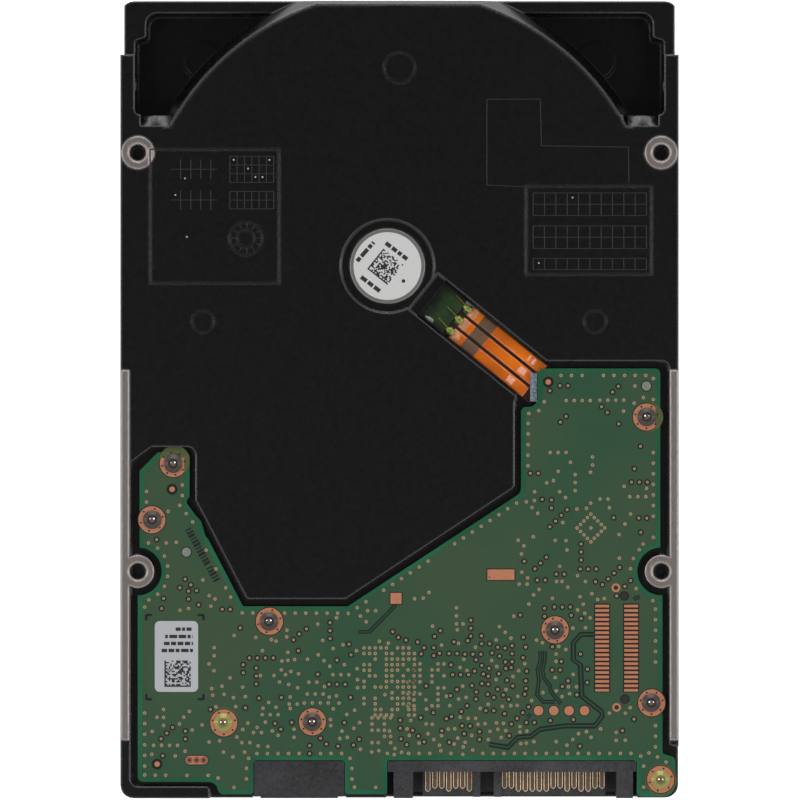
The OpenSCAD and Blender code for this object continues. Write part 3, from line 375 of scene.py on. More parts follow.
def potting():
    """Dark green sealant, cloudier in patches, that thins out to black at its rim."""
    g = Graph("sealant", rough=0.22)
    cloud = g.noise(420, 3, 0.6)
    c, s = math.cos(CHANNEL_ANGLE), math.sin(CHANNEL_ANGLE)
    x, y = (g.minus(g.xyz()[i], SPINDLE[i] + CHANNEL_START[i] * MM) for i in (0, 1))
    u = g.plus(g.times(x, c), g.times(y, s))
    v = g.math("ABSOLUTE", g.minus(g.times(y, c), g.times(x, s)))
    ragged = g.plus(u, g.times(cloud, 2.4 * MM))
    body = g.times(g.span(ragged, 5.0 * MM, 7.4 * MM), g.span(v, 3.9 * MM, 2.6 * MM))
    green = g.ramp(cloud, (0.3, (0.010, 0.030, 0.012)), (0.7, (0.030, 0.052, 0.014)))
    g.look("Base Color", g.mix(body, (0.005, 0.005, 0.005), green))
    return g.bump(g.noise(500, 2), 0.12 * MM, 0.5, 0.25 * MM).mat


def cloth(name, color):
    """Non-woven fibre mat."""
    g = Graph(name, color, 0.9)
    return g.grained(g.noise(1.0, 5, 0.75, g.scaled((1400, 1400, 4200))), color, 0.75, 0.1, 0.8)


spindle_low, spindle_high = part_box("motor_bracket")
SPINDLE = (spindle_low + spindle_high) / 2
pivot_low, pivot_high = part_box("pivot_cartridge")
PIVOT = (pivot_low + pivot_high) / 2

# The motor flex's channel: where it starts, from the spindle in millimetres, and which way it runs
CHANNEL_START = (5.35, -3.65)
CHANNEL_ANGLE = math.radians(-38.9)

M = {
    "ecoat": casting(),
    "cover": brushed("cover_aluminium", (0.60, 0.60, 0.59), 0.42, (600, 7000, 600)),
    "steel": brushed("stamped_steel", (0.50, 0.49, 0.47)),
    "cap": turned("turned_steel", (0.52, 0.50, 0.475), 0.33, SPINDLE, 0.15),
    "bearing": turned("ground_steel", (0.60, 0.59, 0.57), 0.2, PIVOT),
    "nickel": brushed("nickel_plate", (0.62, 0.58, 0.52), 0.25),
    "machined": brushed("machined_aluminium", (0.72, 0.72, 0.72), 0.28, (700, 700, 9000)),
    "iron": brushed("laminated_iron", (0.24, 0.235, 0.23), 0.5, (700, 700, 16000), 0.03),
    "mirror": polished("disk_coating", (0.80, 0.79, 0.78)),
    "copper_wire": wound("enamelled_copper", (0.72, 0.27, 0.12)),
    "label": paper("label_stock", (0.445, 0.45, 0.47)),
    "white": paper("white_label_stock", (0.585, 0.585, 0.58)),
    "printed": printed_label("cover_label_stock", (0.445, 0.45, 0.47)),
    "board": laminate(),
    "plane": copper_plane(),
    "copper": copper("bare_copper", (0.58, 0.232, 0.125)),
    "polyimide": polyimide(),
    "grey_foam": foam("grey_foam", (0.03, 0.045, 0.065), (0.20, 0.25, 0.30), 3200),
    "black_foam": foam("black_foam", (0.006, 0.006, 0.006), (0.03, 0.03, 0.03)),
    "plug": plastic("plug_plastic", (0.013, 0.013, 0.015), (0.048, 0.049, 0.053), 0.55, 3000, 0.03, 0.12),
    "service": plastic("service_plastic", (0.005, 0.005, 0.006), (0.030, 0.030, 0.034),
                       0.6, 1500, 0.03, 0.12),
    "chip": plastic("chip_epoxy", (0.010, 0.010, 0.011), (0.022, 0.022, 0.023), 0.6, 5000, 0.01),
    "ceramic": plastic("ceramic_body", (0.10, 0.075, 0.05), (0.19, 0.15, 0.10), 0.5, 4000, 0.01),
    "ivory": plastic("ramp_plastic", (0.60, 0.55, 0.43), (0.72, 0.68, 0.56), 0.35, 900, 0.01),
    "rubber": plastic("seal_rubber", (0.010, 0.010, 0.010), (0.020, 0.020, 0.020), 0.75, 1800, 0.02),
    "cloth": cloth("filter_cloth", (0.72, 0.72, 0.70)),
    "gap": flat("mask_over_gap", (0.0055, 0.0075, 0.006), 0.35),
    "trace": flat("mask_over_trace", (0.016, 0.062, 0.033), 0.35),
    "tented": flat("mask_over_via", (0.34, 0.235, 0.14), 0.4),
    "via_hole": flat("via_hole", (0.018, 0.045, 0.022), 0.5),
    # painted shade: dark discs for the open holes, partly the shade inside them and partly the black
    # insulator below the board
    "hole": flat("hole_shade", (0.010, 0.010, 0.008), 0.6),
    "tin": flat("tin_plate", (0.27, 0.28, 0.25), 0.25, 0.3),
    "ink": flat("printed_ink", (0.012, 0.012, 0.013), 0.6),
    "flex_band": flat("flex_band", (0.125, 0.068, 0.035), 0.45),
    "strip_end": flat("strip_end", (0.62, 0.20, 0.06), 0.3),
    "film": flat("film_margin", (0.022, 0.010, 0.005), 0.22, Coat_Weight=0.5, Coat_Roughness=0.08),
    "solder": flat("flux_on_solder", (0.22, 0.26, 0.03), 0.25, 0.35, Coat_Weight=0.5, Coat_Roughness=0.1),
    "cloudy": flat("cloudy_sealant", (0.52, 0.22, 0.11), 0.4, 0, 700, 0.3),
    "smear": flat("grey_smear", (0.17, 0.17, 0.16), 0.35, 0, 700, 0.5),
    "wire": flat("gold_wire", (0.30, 0.20, 0.06), 0.35, 0.6),
    "mark": flat("mould_ridge", (0.009, 0.009, 0.009), 0.4),
    "sealant": potting(),
    "flux": flat("flux_film", (0.085, 0.105, 0.038), 0.3),
    "bare": flat("bare_spot", (0.42, 0.42, 0.42), 0.4, 0.2),
    "screw": flat("dark_nickel", (0.040, 0.028, 0.022), 0.3, 0.25, 900, 0.1, 0.002),
    "socket": flat("socket_floor", (0.80, 0.74, 0.68), 0.09, 0.85, 900, 0.05, 0.001),
    "brass": flat("brass_plate", (0.25, 0.22, 0.055), 0.26, 0.3, 900, 0.1, 0.002),
    "gold": flat("gold_contact", (0.205, 0.115, 0.062), 0.3, 0.4, 1200, 0.1, 0.003),
    # painted highlight: a far paler copy of the contacts' gold, laid along their edges
    "gold_highlight": flat("painted_gold_highlight", (0.62, 0.52, 0.38), 0.3, 0.3, 1200, 0.1, 0.003),
}

FINISH = {
    "ecoat": ["base_casting"],
    "cover": ["outer_cover", "inner_cover"],
    "label": ["board_label"],
    "printed": ["cover_label"],
    "white": ["motor_label"],
    "rubber": ["cover_gasket", "crash_stops"],
    "steel": ["cover_screws", "flex_bracket", "suspensions", "platter_spacers", "disk_clamp"],
    "cap": ["motor_bracket"],
    "bearing": ["spindle_shaft", "pivot_shaft", "pivot_cartridge"],
    "nickel": ["upper_yoke", "lower_yoke", "coil_magnets", "clamp_screws"],
    "machined": ["spindle_hub", "arm_block"],
    "iron": ["stator_core", "rotor_magnet"],
    "mirror": ["platter_%d" % i for i in range(1, 10)],
    "copper_wire": ["stator_windings", "voice_coil"],
    "board": ["circuit_board", "preamp_board"],
    "polyimide": ["flex_loop"],
    "grey_foam": ["flex_contact_pad"],
    "black_foam": ["board_insulator"],
    "plug": ["plug_housing"],
    "service": ["service_port_block"],
    "chip": ["controller_chip", "memory_chip", "motor_driver_chip", "coil_frame", "feedthrough_connector"],
    "ceramic": ["board_components", "head_sliders"],
    "ivory": ["load_ramp", "latch_lever"],
    "cloth": ["air_filter", "desiccant_pack"],
    "screw": ["board_screws"],
    "brass": ["board_screws_brass"],
    "gold": ["plug_signal_contacts", "plug_power_contacts"],
    "film": ["motor_flex"],
    "sealant": ["motor_flex_solder"],
}




def wear(node, material):
    """Gives a CAD node one material."""
    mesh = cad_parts[node].data
    mesh.materials.clear()
    mesh.materials.append(material)


for key, nodes in FINISH.items():
    for node in nodes:
        wear(node, M[key])


# ---------- Thin shapes ----------
def circle(x, y, r, n, turned=0.0):
    """Points round a centre, the first one turned by a share of a step."""
    return [(x + r * math.cos(math.tau * (i + turned) / n), y + r * math.sin(math.tau * (i + turned) / n))
            for i in range(n)]


def finished(bm, name, keys):
    """The mesh as a named piece on the casing, with its materials."""
    mesh = bpy.data.meshes.new(name)
    bm.to_mesh(mesh)
    bm.free()
    for key in keys:
        mesh.materials.append(M[key])
    piece = bpy.data.objects.new(name, mesh)
    bpy.context.scene.collection.objects.link(piece)
    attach(piece, "casing")


def joined(bm, a, b, mat=0):
    """Smooth faces between two rings of as many points."""
    for k, _ in enumerate(a):
        j = (k + 1) % len(a)
        face = bm.faces.new((a[k], b[k], b[j], a[j]))
        face.smooth, face.material_index = True, mat


def fan(bm, top, ring, mat=0):
    """Smooth faces from one point to a ring."""
    for k, _ in enumerate(ring):
        face = bm.faces.new((top, ring[k], ring[(k + 1) % len(ring)]))
        face.smooth, face.material_index = True, mat


class Relief:
    """Thin flat shapes, each standing a little above a face, gathered into one mesh."""

    def __init__(self, name, base, *materials):
        self.name, self.base, self.materials = name, base, materials
        self.bm = bmesh.new()

    def polygon(self, points, height, mat=0):
        """A prism of frame x, y points from the base up to a height, open below."""
        low = [self.bm.verts.new((x, y, self.base)) for x, y in points]
        high = [self.bm.verts.new((x, y, self.base + height)) for x, y in points]
        self.bm.faces.new(high).material_index = mat
        for i, _ in enumerate(points):
            j = (i + 1) % len(points)
            self.bm.faces.new((low[i], low[j], high[j], high[i])).material_index = mat

    def disc(self, x, y, r, height, mat=0, n=16):
        self.polygon(circle(x, y, r, n), height, mat)

    def ring(self, x, y, r_in, r_out, height, mat=0, n=20, limit=(1, 1)):
        """A flat ring with a raised top; no point lies beyond the limits in x and y."""
        rows = []
        for r, z in ((r_out, 0), (r_out, height), (r_in, height), (r_in, 0)):
            rows.append([self.bm.verts.new((min(limit[0], px), min(limit[1], py), self.base + z))
                         for px, py in circle(x, y, r, n)])
        for a, b in zip(rows, rows[1:]):
            for i in range(n):
                j = (i + 1) % n
                self.bm.faces.new((a[i], a[j], b[j], b[i])).material_index = mat

    def path(self, points, width, height, mat=0):
        """A strip of even width along a bent line."""
        left, right = [], []
        for i, p in enumerate(points):
            a = Vector(points[max(0, i - 1)])
            b = Vector(points[min(len(points) - 1, i + 1)])
            along = (b - a).normalized()
            if 0 < i < len(points) - 1:
                first = (Vector(p) - a).normalized()
                stretch = 1 / max(0.6, abs(first.dot((b - Vector(p)).normalized()) * 0.5 + 0.5) ** 0.5)
            else:
                stretch = 1
            side = Vector((-along.y, along.x)) * width / 2 * stretch
            left.append(tuple(Vector(p) + side))
            right.append(tuple(Vector(p) - side))
        for i in range(len(points) - 1):
            self.polygon([right[i], right[i + 1], left[i + 1], left[i]], height, mat)

    def ridge(self, points, width, height, mat=0):
        """A fine raised line with sloping sides."""
        for a, b in zip(points, points[1:]):
            a, b = Vector(a), Vector(b)
            along = (b - a).normalized()
            side = Vector((-along.y, along.x)) * width / 2
            foot = [self.bm.verts.new((*p, self.base)) for p in (a - side, b - side, b + side, a + side)]
            top = [self.bm.verts.new((*p, self.base + height)) for p in (a, b)]
            for face in ((foot[0], foot[1], top[1], top[0]), (foot[2], foot[3], top[0], top[1]),
                         (foot[3], foot[0], top[0]), (foot[1], foot[2], top[1])):
                self.bm.faces.new(face).material_index = mat

    def round(self, x, y, *discs):
        """Discs about a photo pixel: radius in millimetres, height, material and number of sides."""
        for r, height, mat, n in discs:
            self.disc(*at_px(x, y), r * MM, height, mat, n)

    def slanted_box(self, origin, angle, u0, v0, u1, v1):
        """A printed rectangle, turned about an origin."""
        c, s = math.cos(angle), math.sin(angle)
        corners = ((u0, v0), (u1, v0), (u1, v1), (u0, v1))
        self.polygon([(origin[0] + a * c - b * s, origin[1] + a * s + b * c) for a, b in corners], PRINT)

    def done(self):
        bmesh.ops.recalc_face_normals(self.bm, faces=self.bm.faces)
        finished(self.bm, self.name, self.materials)


def box_px(x0, y0, x1, y1):
    """The corners of an upright rectangle of the photograph, in the frame."""
    return [at_px(x0, y1), at_px(x1, y1), at_px(x1, y0), at_px(x0, y0)]


def grown(points, by):
    """An anticlockwise outline moved outwards, or inwards below zero; sides that turn over are dropped."""
    lines = []
    for a, b in zip(points, points[1:] + points[:1]):
        along = (Vector(b) - Vector(a)).normalized()
        lines.append((Vector(a) + Vector((along.y, -along.x)) * by, along, math.dist(a, b)))
    while True:
        corners = []
        for (p, u, _), (q, v, _) in zip(lines[-1:] + lines[:-1], lines):
            turn = u.x * v.y - u.y * v.x
            if abs(turn) < 1e-3:
                corners.append(q)
            else:
                d = q - p
                corners.append(p + u * ((d.x * v.y - d.y * v.x) / turn))
        over = [i for i, line in enumerate(lines)
                if (corners[(i + 1) % len(lines)] - corners[i]).dot(line[1]) < 0]
        if not over or len(lines) <= 3:
            return [tuple(c) for c in corners]
        lines.pop(min(over, key=lambda i: lines[i][2]))


# ---------- Circuit board ----------
def welded(node):
    """A node's mesh with its doubled points merged."""
    bm = bmesh.new()
    bm.from_mesh(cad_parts[node].data)
    bmesh.ops.remove_doubles(bm, verts=bm.verts, dist=1e-7)
    return bm


def top_outline(node, z):
    """The longest loop of edges round a node's flat top, as frame points, anticlockwise."""
    bm = welded(node)
    level = {f for f in bm.faces if all(abs(v.co.z - z) < 1e-5 for v in f.verts)}
    nexts = {}
    for f in level:
        for loop in f.loops:
            if sum(g in level for g in loop.edge.link_faces) == 1:
                nexts[loop.vert.index] = loop.link_loop_next.vert.index
    at = {v.index: (v.co.x, v.co.y) for v in bm.verts}
    loops = []
    while nexts:
        start = here = next(iter(nexts))
        loop = []
        while here in nexts:
            loop.append(at[here])
            here = nexts.pop(here)
        loops.append(loop)
    bm.free()
    return max(loops, key=lambda l: sum(math.dist(a, b) for a, b in zip(l, l[1:])))


def simplified(points, tolerance):
    """An open line with the points dropped that lie within a tolerance of it."""
    a, b = Vector(points[0]), Vector(points[-1])
    along = b - a
    far, index = 0, 0
    for i in range(1, len(points) - 1):
        p = Vector(points[i]) - a
        off = abs(along.x * p.y - along.y * p.x) / along.length if along.length > 1e-9 else p.length
        if off > far:
            far, index = off, i
    if far <= tolerance:
        return [points[0], points[-1]]
    return simplified(points[:index + 1], tolerance)[:-1] + simplified(points[index:], tolerance)


board_edge = top_outline("circuit_board", BOARD_TOP)
start = board_edge.index(min(board_edge))
board_edge = board_edge[start:] + board_edge[:start]
board_edge = simplified(board_edge + board_edge[:1], 0.16 * MM)[:-1]

# Heights of the copper plane, the pads, the gaps round them, the holes in them, and of the labels' print
PLANE, PAD, HALO, DOT, PRINT = 0.02 * MM, 0.05 * MM, 0.035 * MM, 0.06 * MM, 0.008 * MM
copper_area = Relief("copper_plane", BOARD_TOP, "plane")
copper_area.polygon(grown(board_edge, -0.85 * MM), PLANE)
copper_area.done()

# Traces that lie in a gap of the plane: dark edges with a green core
TRACES = [
    [(594, 634.5), (581, 634.5), (573.5, 643), (573.5, 660), (580.5, 665), (582, 696.5), (602, 712),
     (602.5, 716), (595, 726), (566, 726), (540, 729.5), (531, 736.5), (518, 737.5), (508, 747.5),
     (489, 744.5)],
    [(540.5, 651), (540.5, 661), (537.5, 670), (539, 680), (537, 695), (543, 702), (555, 702)],
    [(545, 651), (545, 661), (542.5, 670), (544, 678), (550, 686), (551, 692), (561, 704)],
    [(395.5, 604), (393, 608), (369.5, 632), (358, 632)],
    [(531, 714), (527, 718)],
    [(634, 600), (636, 598), (640, 597)],
]
# Widths of a trace's gap and core, for the first one and the others, and heights of both
WIDE_TRACE, FINE_TRACE = (0.94 * MM, 0.30 * MM), (0.72 * MM, 0.22 * MM)
TRACE_HEIGHTS = (0.026 * MM, 0.032 * MM)
traces = Relief("board_traces", BOARD_TOP, "gap", "trace")
for line in TRACES:
    widths = WIDE_TRACE if line is TRACES[0] else FINE_TRACE
    for mat, (width, height) in enumerate(zip(widths, TRACE_HEIGHTS)):
        traces.path([at_px(*p) for p in line], width, height, mat)
MARK = 0.03 * MM          # height of the bars and the corner marks that follow
# Short dark bars where the board's number runs: first bar, run to the last, and half a bar
NUMBER_START, NUMBER_RUN, NUMBER_BAR = (188.2, 529.5), (29, 52), (3.1, -1.7)
NUMBER_BARS = 17
NUMBER_GAP = 12           # the bar after a wider gap
for i in range(NUMBER_BARS):
    t = i / NUMBER_BARS + (0.03 if i >= NUMBER_GAP else 0)
    x, y = (NUMBER_START[k] + NUMBER_RUN[k] * t for k in (0, 1))
    bar = [at_px(x + NUMBER_BAR[0] * sign, y + NUMBER_BAR[1] * sign) for sign in (-1, 1)]
    traces.path(bar, (0.26 + 0.12 * (i % 3)) * MM, MARK, 0)
# Corner marks round the label: its box in photo pixels, and one corner's line from there
LABEL_LEFT, LABEL_RIGHT, LABEL_FAR, LABEL_NEAR = 145.5, 204, 614.5, 700
CORNER_LINE = [(6.5, 0.6), (1.2, 0.6), (0.6, 1.2), (0.6, 6)]
for y, sy in ((LABEL_FAR, 1), (LABEL_NEAR, -1)):
    for x, sx in ((LABEL_LEFT, 1), (LABEL_RIGHT, -1)):
        traces.path([at_px(x + a * sx, y + b * sy) for a, b in CORNER_LINE], 0.42 * MM, MARK, 0)
traces.done()

# Its third material is painted shade: dark discs for the open holes, partly the shade inside them and partly
# the black insulator below the board
pads = Relief("board_pads", BOARD_TOP, "copper", "gap", "hole", "tin", "flux")


def pad_box(x0, y0, x1, y1, margin=0.17):
    corners = box_px(x0, y0, x1, y1)
    pads.polygon(grown(corners, margin * MM), HALO, 1)
    pads.polygon(corners, PAD, 0)


# Single pads, the first with a small hole
WIDE_PAD, SQUARE_PAD = (487.5, 569.5, 514.5, 580), (390.5, 593, 401.5, 604)
WIDE_PAD_HOLE = (489.5, 577.3)
pad_box(*WIDE_PAD)
pads.round(*WIDE_PAD_HOLE, (0.13, DOT, 2, 8))
pad_box(*SQUARE_PAD)
# Two columns of bare fingers in a gap: left and right sides, the gap's ends, then the fingers
FINGER_COLUMNS = [(595.3, 609.2), (624.3, 638.2)]
FINGER_GAP = (604.6, 691.4)
FINGERS, FINGER_FIRST, FINGER_STEP, FINGER_WIDTH = 20, 604.9, 4.43, 2.6
for x0, x1 in FINGER_COLUMNS:
    pads.polygon(grown(box_px(x0, FINGER_GAP[0], x1, FINGER_GAP[1]), 0.2 * MM), HALO, 1)
    for i in range(FINGERS):
        y = FINGER_FIRST + i * FINGER_STEP
        pads.polygon(box_px(x0, y, x1, y + FINGER_WIDTH), PAD, 0)
# A row of round pads
ROUND_PADS_X, ROUND_PADS_Y = (538.6, 553.9, 569.2, 584.6), 710.8
for x in ROUND_PADS_X:
    pads.round(x, ROUND_PADS_Y, (1.03, HALO, 1, 24), (0.87, PAD, 0, 24))
# Three plated holes in one long pad
LONG_PAD_ENDS, LONG_PAD_HOLES, LONG_PAD_Y = (189.6, 203.4), (189.3, 196.4, 203.5), 760.3
end = [at_px(x, LONG_PAD_Y) for x in LONG_PAD_ENDS]
for grow, height, mat in ((0.16, HALO, 1), (0, PAD, 0)):
    r = (0.78 + grow) * MM
    arc = [math.pi / 2 + math.pi * i / 8 for i in range(9)]
    pads.polygon([(x + sign * r * math.cos(a), y + sign * r * math.sin(a))
                  for (x, y), sign in zip(end, (1, -1)) for a in arc], height, mat)
for x in LONG_PAD_HOLES:
    pads.ring(*at_px(x, LONG_PAD_Y), 0.42 * MM, 0.54 * MM, DOT, 1, 14)
    pads.round(x, LONG_PAD_Y, (0.3, DOT, 2, 12))
# Flux that has spread over the mask round four of the screws: centre and reach in millimetres
FLUX_SPOTS = [(174.5, 460.5, 2.75), (648.5, 417, 2.7), (661, 780, 2.85), (223.7, 721.5, 2.6)]
for x, y, r in FLUX_SPOTS:
    pads.ring(*at_px(x, y), 1.2 * MM, r * MM, 0.029 * MM, 4, 40)
# Open holes, with and without a copper rim
OPEN_HOLES = [(616, 587.8, 1), (616.7, 707.5, 1), (624.6, 596, 0), (625, 699.2, 0)]
for x, y, rim in OPEN_HOLES:
    if rim:
        pads.round(x, y, (0.8, PAD, 0, 20), (0.42, DOT, 2, 16))
    else:
        pads.round(x, y, (0.86, HALO, 1, 20), (0.66, DOT, 2, 20))
# Alignment dots
ALIGNMENT_DOTS = [(172, 489.3), (157, 764.3), (548.3, 382)]
for x, y in ALIGNMENT_DOTS:
    pads.round(x, y, (1.0, HALO, 1, 20), (0.5, PAD, 0, 16))
# Tinned test points
TEST_POINTS = [(186.3, 552.2), (646.6, 386)]
for x, y in TEST_POINTS:
    pads.round(x, y, (1.02, HALO, 1, 24), (0.84, PAD * 1.6, 3, 24))
# Rings round the board's screws: centre, and how many small plated holes each has
SCREWS = [(173.2, 463.6, 8), (151.7, 519.8, 6), (269.3, 621.4, 6), (312.4, 722, 7), (646.6, 417, 7),
          (555.2, 629.9, 8), (651.8, 703, 7), (223.7, 723.1, 7), (660.8, 779.7, 6)]
# Rings that stop short at a right and a far side, and the limit of the others, which is off the board
CLIPPED = {(173.2, 463.6): (184, 457.7), (646.6, 417): (655.4, 0)}
NO_LIMIT = (800, 0)
# A gap and a copper ring round each screw, and its plated holes: radii in millimetres
SCREW_GAP, SCREW_RING, SCREW_HOLES, SCREW_HOLE = (0.98, 2.62), (1.0, 2.46), 2.07, 0.19
for x, y, holes in SCREWS:
    limit = at_px(*CLIPPED.get((x, y), NO_LIMIT))
    for (r_in, r_out), height, mat in ((SCREW_GAP, HALO, 1), (SCREW_RING, PAD, 0)):
        pads.ring(*at_px(x, y), r_in * MM, r_out * MM, height, mat, 48, limit)
    for place in circle(*at_px(x, y), SCREW_HOLES * MM, holes, 0.25):
        pads.disc(*place, SCREW_HOLE * MM, DOT, 2, 10)
pads.done()

# Everything that the vias keep clear of, in photo pixels: boxes, then circles
VIA_KEEP_OUT = [(142, 611, 208, 704), (592, 601, 642, 695), (484, 566, 518, 584), (387, 589, 405, 608),
                (532, 703, 592, 719), (182, 753, 211, 768), (184, 525, 202, 556), (196, 553, 212, 576),
                (206, 570, 221, 588)]
VIA_KEEP_OFF = [(x, y, 17) for x, y, holes in SCREWS]
VIA_KEEP_OFF += [(x, y, 8.5) for x, y in ALIGNMENT_DOTS + TEST_POINTS]
VIA_KEEP_OFF += [(x, y, 7.5) for x, y, rim in OPEN_HOLES]
TRACE_CLEARANCE = 4.6   # photo pixels
# Fields of vias in photo pixels: left, top, right, bottom, plain ones, and ones in a gap of their own
VIA_FIELDS = [(525, 372, 662, 470, 18, 12), (518, 470, 662, 600, 55, 38), (380, 590, 530, 640, 14, 10),
              (383, 640, 530, 700, 56, 58), (383, 700, 535, 772, 64, 30), (240, 640, 383, 700, 42, 20),
              (240, 700, 383, 755, 42, 12), (140, 600, 240, 700, 14, 4), (140, 705, 240, 758, 24, 7),
              (535, 600, 592, 765, 26, 20), (145, 480, 240, 600, 6, 8), (600, 700, 650, 755, 8, 2),
              (240, 608, 380, 640, 10, 7)]
VIA_GRID = 3.8          # photo pixels; vias stay two steps apart
RUN_STEP = 2.1 * VIA_GRID
STITCH_STEP = 10.6      # photo pixels between the vias along the board's edge
STITCH_FILL = 0.85      # the share of them that is there
TRIES = 30              # places tried for each via of a field
# Close arrays under the large packages: left, top, columns, rows, step in photo pixels, share that is filled
VIA_ARRAYS = [(364, 648, 10, 13, 5.6, 0.62), (372, 718, 4, 5, 6.2, 0.8), (408, 664, 7, 8, 6.0, 0.5)]
DIAMOND = (591, 528, 4.9)     # a square of vias on its corner: centre and step


def to_px(point):
    """The photo pixel of a frame point."""
    return PX_PER_MM * point[0] / MM + PX_MIDDLE, PX_FRONT - PX_PER_MM * (point[1] - FRONT) / MM


def is_inside(point, ring):
    x, y = point
    odd = False
    for (ax, ay), (bx, by) in zip(ring, ring[1:] + ring[:1]):
        if (ay > y) != (by > y) and x < ax + (y - ay) * (bx - ax) / (by - ay):
            odd = not odd
    return odd


def distance_to(point, a, b):
    """From a point to a straight stretch."""
    p, a, b = Vector(point), Vector(a), Vector(b)
    t = max(0.0, min(1.0, (p - a).dot(b - a) / (b - a).length_squared))
    return (p - a - (b - a) * t).length


class ViaPlaces:
    """Hands out places for vias, none on top of another or of anything else on the board."""

    def __init__(self):
        self.ring = [to_px(p) for p in grown(board_edge, -1.0 * MM)]
        self.taken = set()

    def mark(self, x, y):
        self.taken.add((round(x / VIA_GRID), round(y / VIA_GRID)))

    def take(self, x, y):
        i, j = round(x / VIA_GRID), round(y / VIA_GRID)
        near = {(i + a, j + b) for a in (-1, 0, 1) for b in (-1, 0, 1)}
        free = (not near & self.taken and is_inside((x, y), self.ring)
                and all(not (x0 < x < x1 and y0 < y < y1) for x0, y0, x1, y1 in VIA_KEEP_OUT)
                and all(math.dist((x, y), (cx, cy)) > r for cx, cy, r in VIA_KEEP_OFF)
                and all(distance_to((x, y), a, b) > TRACE_CLEARANCE
                        for line in TRACES for a, b in zip(line, line[1:])))
        if free:
            self.taken.add((i, j))
        return free


def plain_via(x, y, bore=0.11, rim=0.32):
    """A plated hole of a bore and a rim in millimetres."""
    vias.ring(*at_px(x, y), bore * MM, rim * MM, PAD, 0, 12)
    vias.round(x, y, (bore + 0.01, HALO, 1, 8))


def gapped_via(x, y):
    """A smaller plated hole in a gap of the plane."""
    vias.round(x, y, (0.56, HALO * 0.9, 2, 14))
    plain_via(x, y, 0.09, 0.27)


def stitches(places):
    """Plain vias along the board's edge, with a few left out."""
    ring = [to_px(p) for p in grown(board_edge, -1.25 * MM)]
    rng = random.Random(5)
    left_over = 0.0
    for a, b in zip(ring, ring[1:] + ring[:1]):
        a, b = Vector(a), Vector(b)
        length = (b - a).length
        while left_over < length:
            p = a.lerp(b, left_over / length)
            if rng.random() < STITCH_FILL and places.take(*p):
                plain_via(*p)
            left_over += STITCH_STEP
        left_over -= length


def array(places, left, top, columns, rows, step, fill, seed):
    """A close array of plain vias with some missing."""
    rng = random.Random(seed)
    for i in range(columns):
        for j in range(rows):
            x, y = left + i * step, top + j * step
            if rng.random() < fill:
                plain_via(x, y)
                places.mark(x, y)


def diamond(places, x, y, step):
    """A square of vias that stands on its corner, with an open ring between its rim and its core."""
    for i in range(-2, 3):
        for j in range(-2, 3):
            if max(abs(i), abs(j)) != 1:
                at = (x + (i - j) * step / math.sqrt(2), y + (i + j) * step / math.sqrt(2))
                plain_via(*at)
                places.mark(*at)


def field(places, left, top, right, bottom, plain, gapped, seed):
    """Short straight runs of vias, scattered over one field."""
    rng = random.Random(seed)
    for count, place in ((gapped, gapped_via), (plain, plain_via)):
        for _ in range(count * TRIES):
            if count <= 0:
                break
            x, y = rng.uniform(left, right), rng.uniform(top, bottom)
            dx, dy = rng.choice([(1, 0), (0, 1), (0.72, 0.72), (0.72, -0.72)])
            for i in range(rng.choice([1, 1, 2, 3, 4])):
                at = (x + dx * i * RUN_STEP, y + dy * i * RUN_STEP)
                if count > 0 and at[0] < right and top < at[1] < bottom and places.take(*at):
                    place(*at)
                    count -= 1


vias = Relief("board_vias", BOARD_TOP, "tented", "via_hole", "gap")
via_places = ViaPlaces()
for seed, block in enumerate(VIA_ARRAYS):
    array(via_places, *block, 50 + seed)
diamond(via_places, *DIAMOND)
stitches(via_places)
for seed, zone in enumerate(VIA_FIELDS):
    field(via_places, *zone, seed)
vias.done()


# ---------- Labels ----------
CODE_CELLS = 18           # along a side of each square code
CODE_FILL = 0.5           # the share of its cells that are dark


def code_square(relief, centre, side, angle, seed):
    """Random small squares that stand for a machine-readable code, and hold no data."""
    rng = random.Random(seed)
    cell = side / CODE_CELLS
    for i in range(CODE_CELLS):
        for j in range(CODE_CELLS):
            edge = i == 0 or j == 0
            if edge or rng.random() <= CODE_FILL:
                u, v = (i - CODE_CELLS / 2) * cell, (j - CODE_CELLS / 2) * cell
                relief.slanted_box(centre, angle, u, v, u + cell, v + cell)


def bars(relief, origin, length, size, angle, seed):
    """A row of plain short bars where the label has a line of small print."""
    rng = random.Random(seed)
    start = 0
    while start < length:
        run = min(length - start, rng.uniform(0.4, 1.2) * size * 2)
        relief.slanted_box(origin, angle, start, 0, start + run, size)
        start += run + size * 0.4


label_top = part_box("board_label")[1][2]
print_marks = Relief("board_label_print", label_top, "ink")
# The square code, and the lines of print with their lengths in millimetres
LABEL_CODE = (177.5, 673.8)
LABEL_LINES = [(175.5, 631, 2.9), (165, 638.3, 5.0), (163.8, 645.3, 5.3), (161.5, 652.3, 5.7)]
code_square(print_marks, at_px(*LABEL_CODE), 4.8 * MM, 0, 3)
for x, y, length in LABEL_LINES:
    bars(print_marks, at_px(x, y), length * MM, 0.62 * MM, 0, int(x))
print_marks.done()

motor_label_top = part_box("motor_label")[1][2]
motor_print = Relief("motor_label_print", motor_label_top, "ink")
# The code, the dot beside it, and the lines: start, length in millimetres, and slant in degrees
MOTOR_CODE, MOTOR_DOT = (385.3, 266.7), (403.5, 281)
MOTOR_LINES = [(358.6, 262.5, 4.6, 48.6), (384.5, 244.5, 4.9, -37.2), (359.8, 278.5, 4.3, -37.2)]
code_square(motor_print, at_px(*MOTOR_CODE), 4.7 * MM, math.radians(-38.7), 6)
for seed, (x, y, length, slant) in enumerate(MOTOR_LINES, 8):
    bars(motor_print, at_px(x, y), length * MM, 0.75 * MM, math.radians(slant), seed)
motor_print.round(*MOTOR_DOT, (0.34, 0.01 * MM, 0, 16))
motor_print.done()


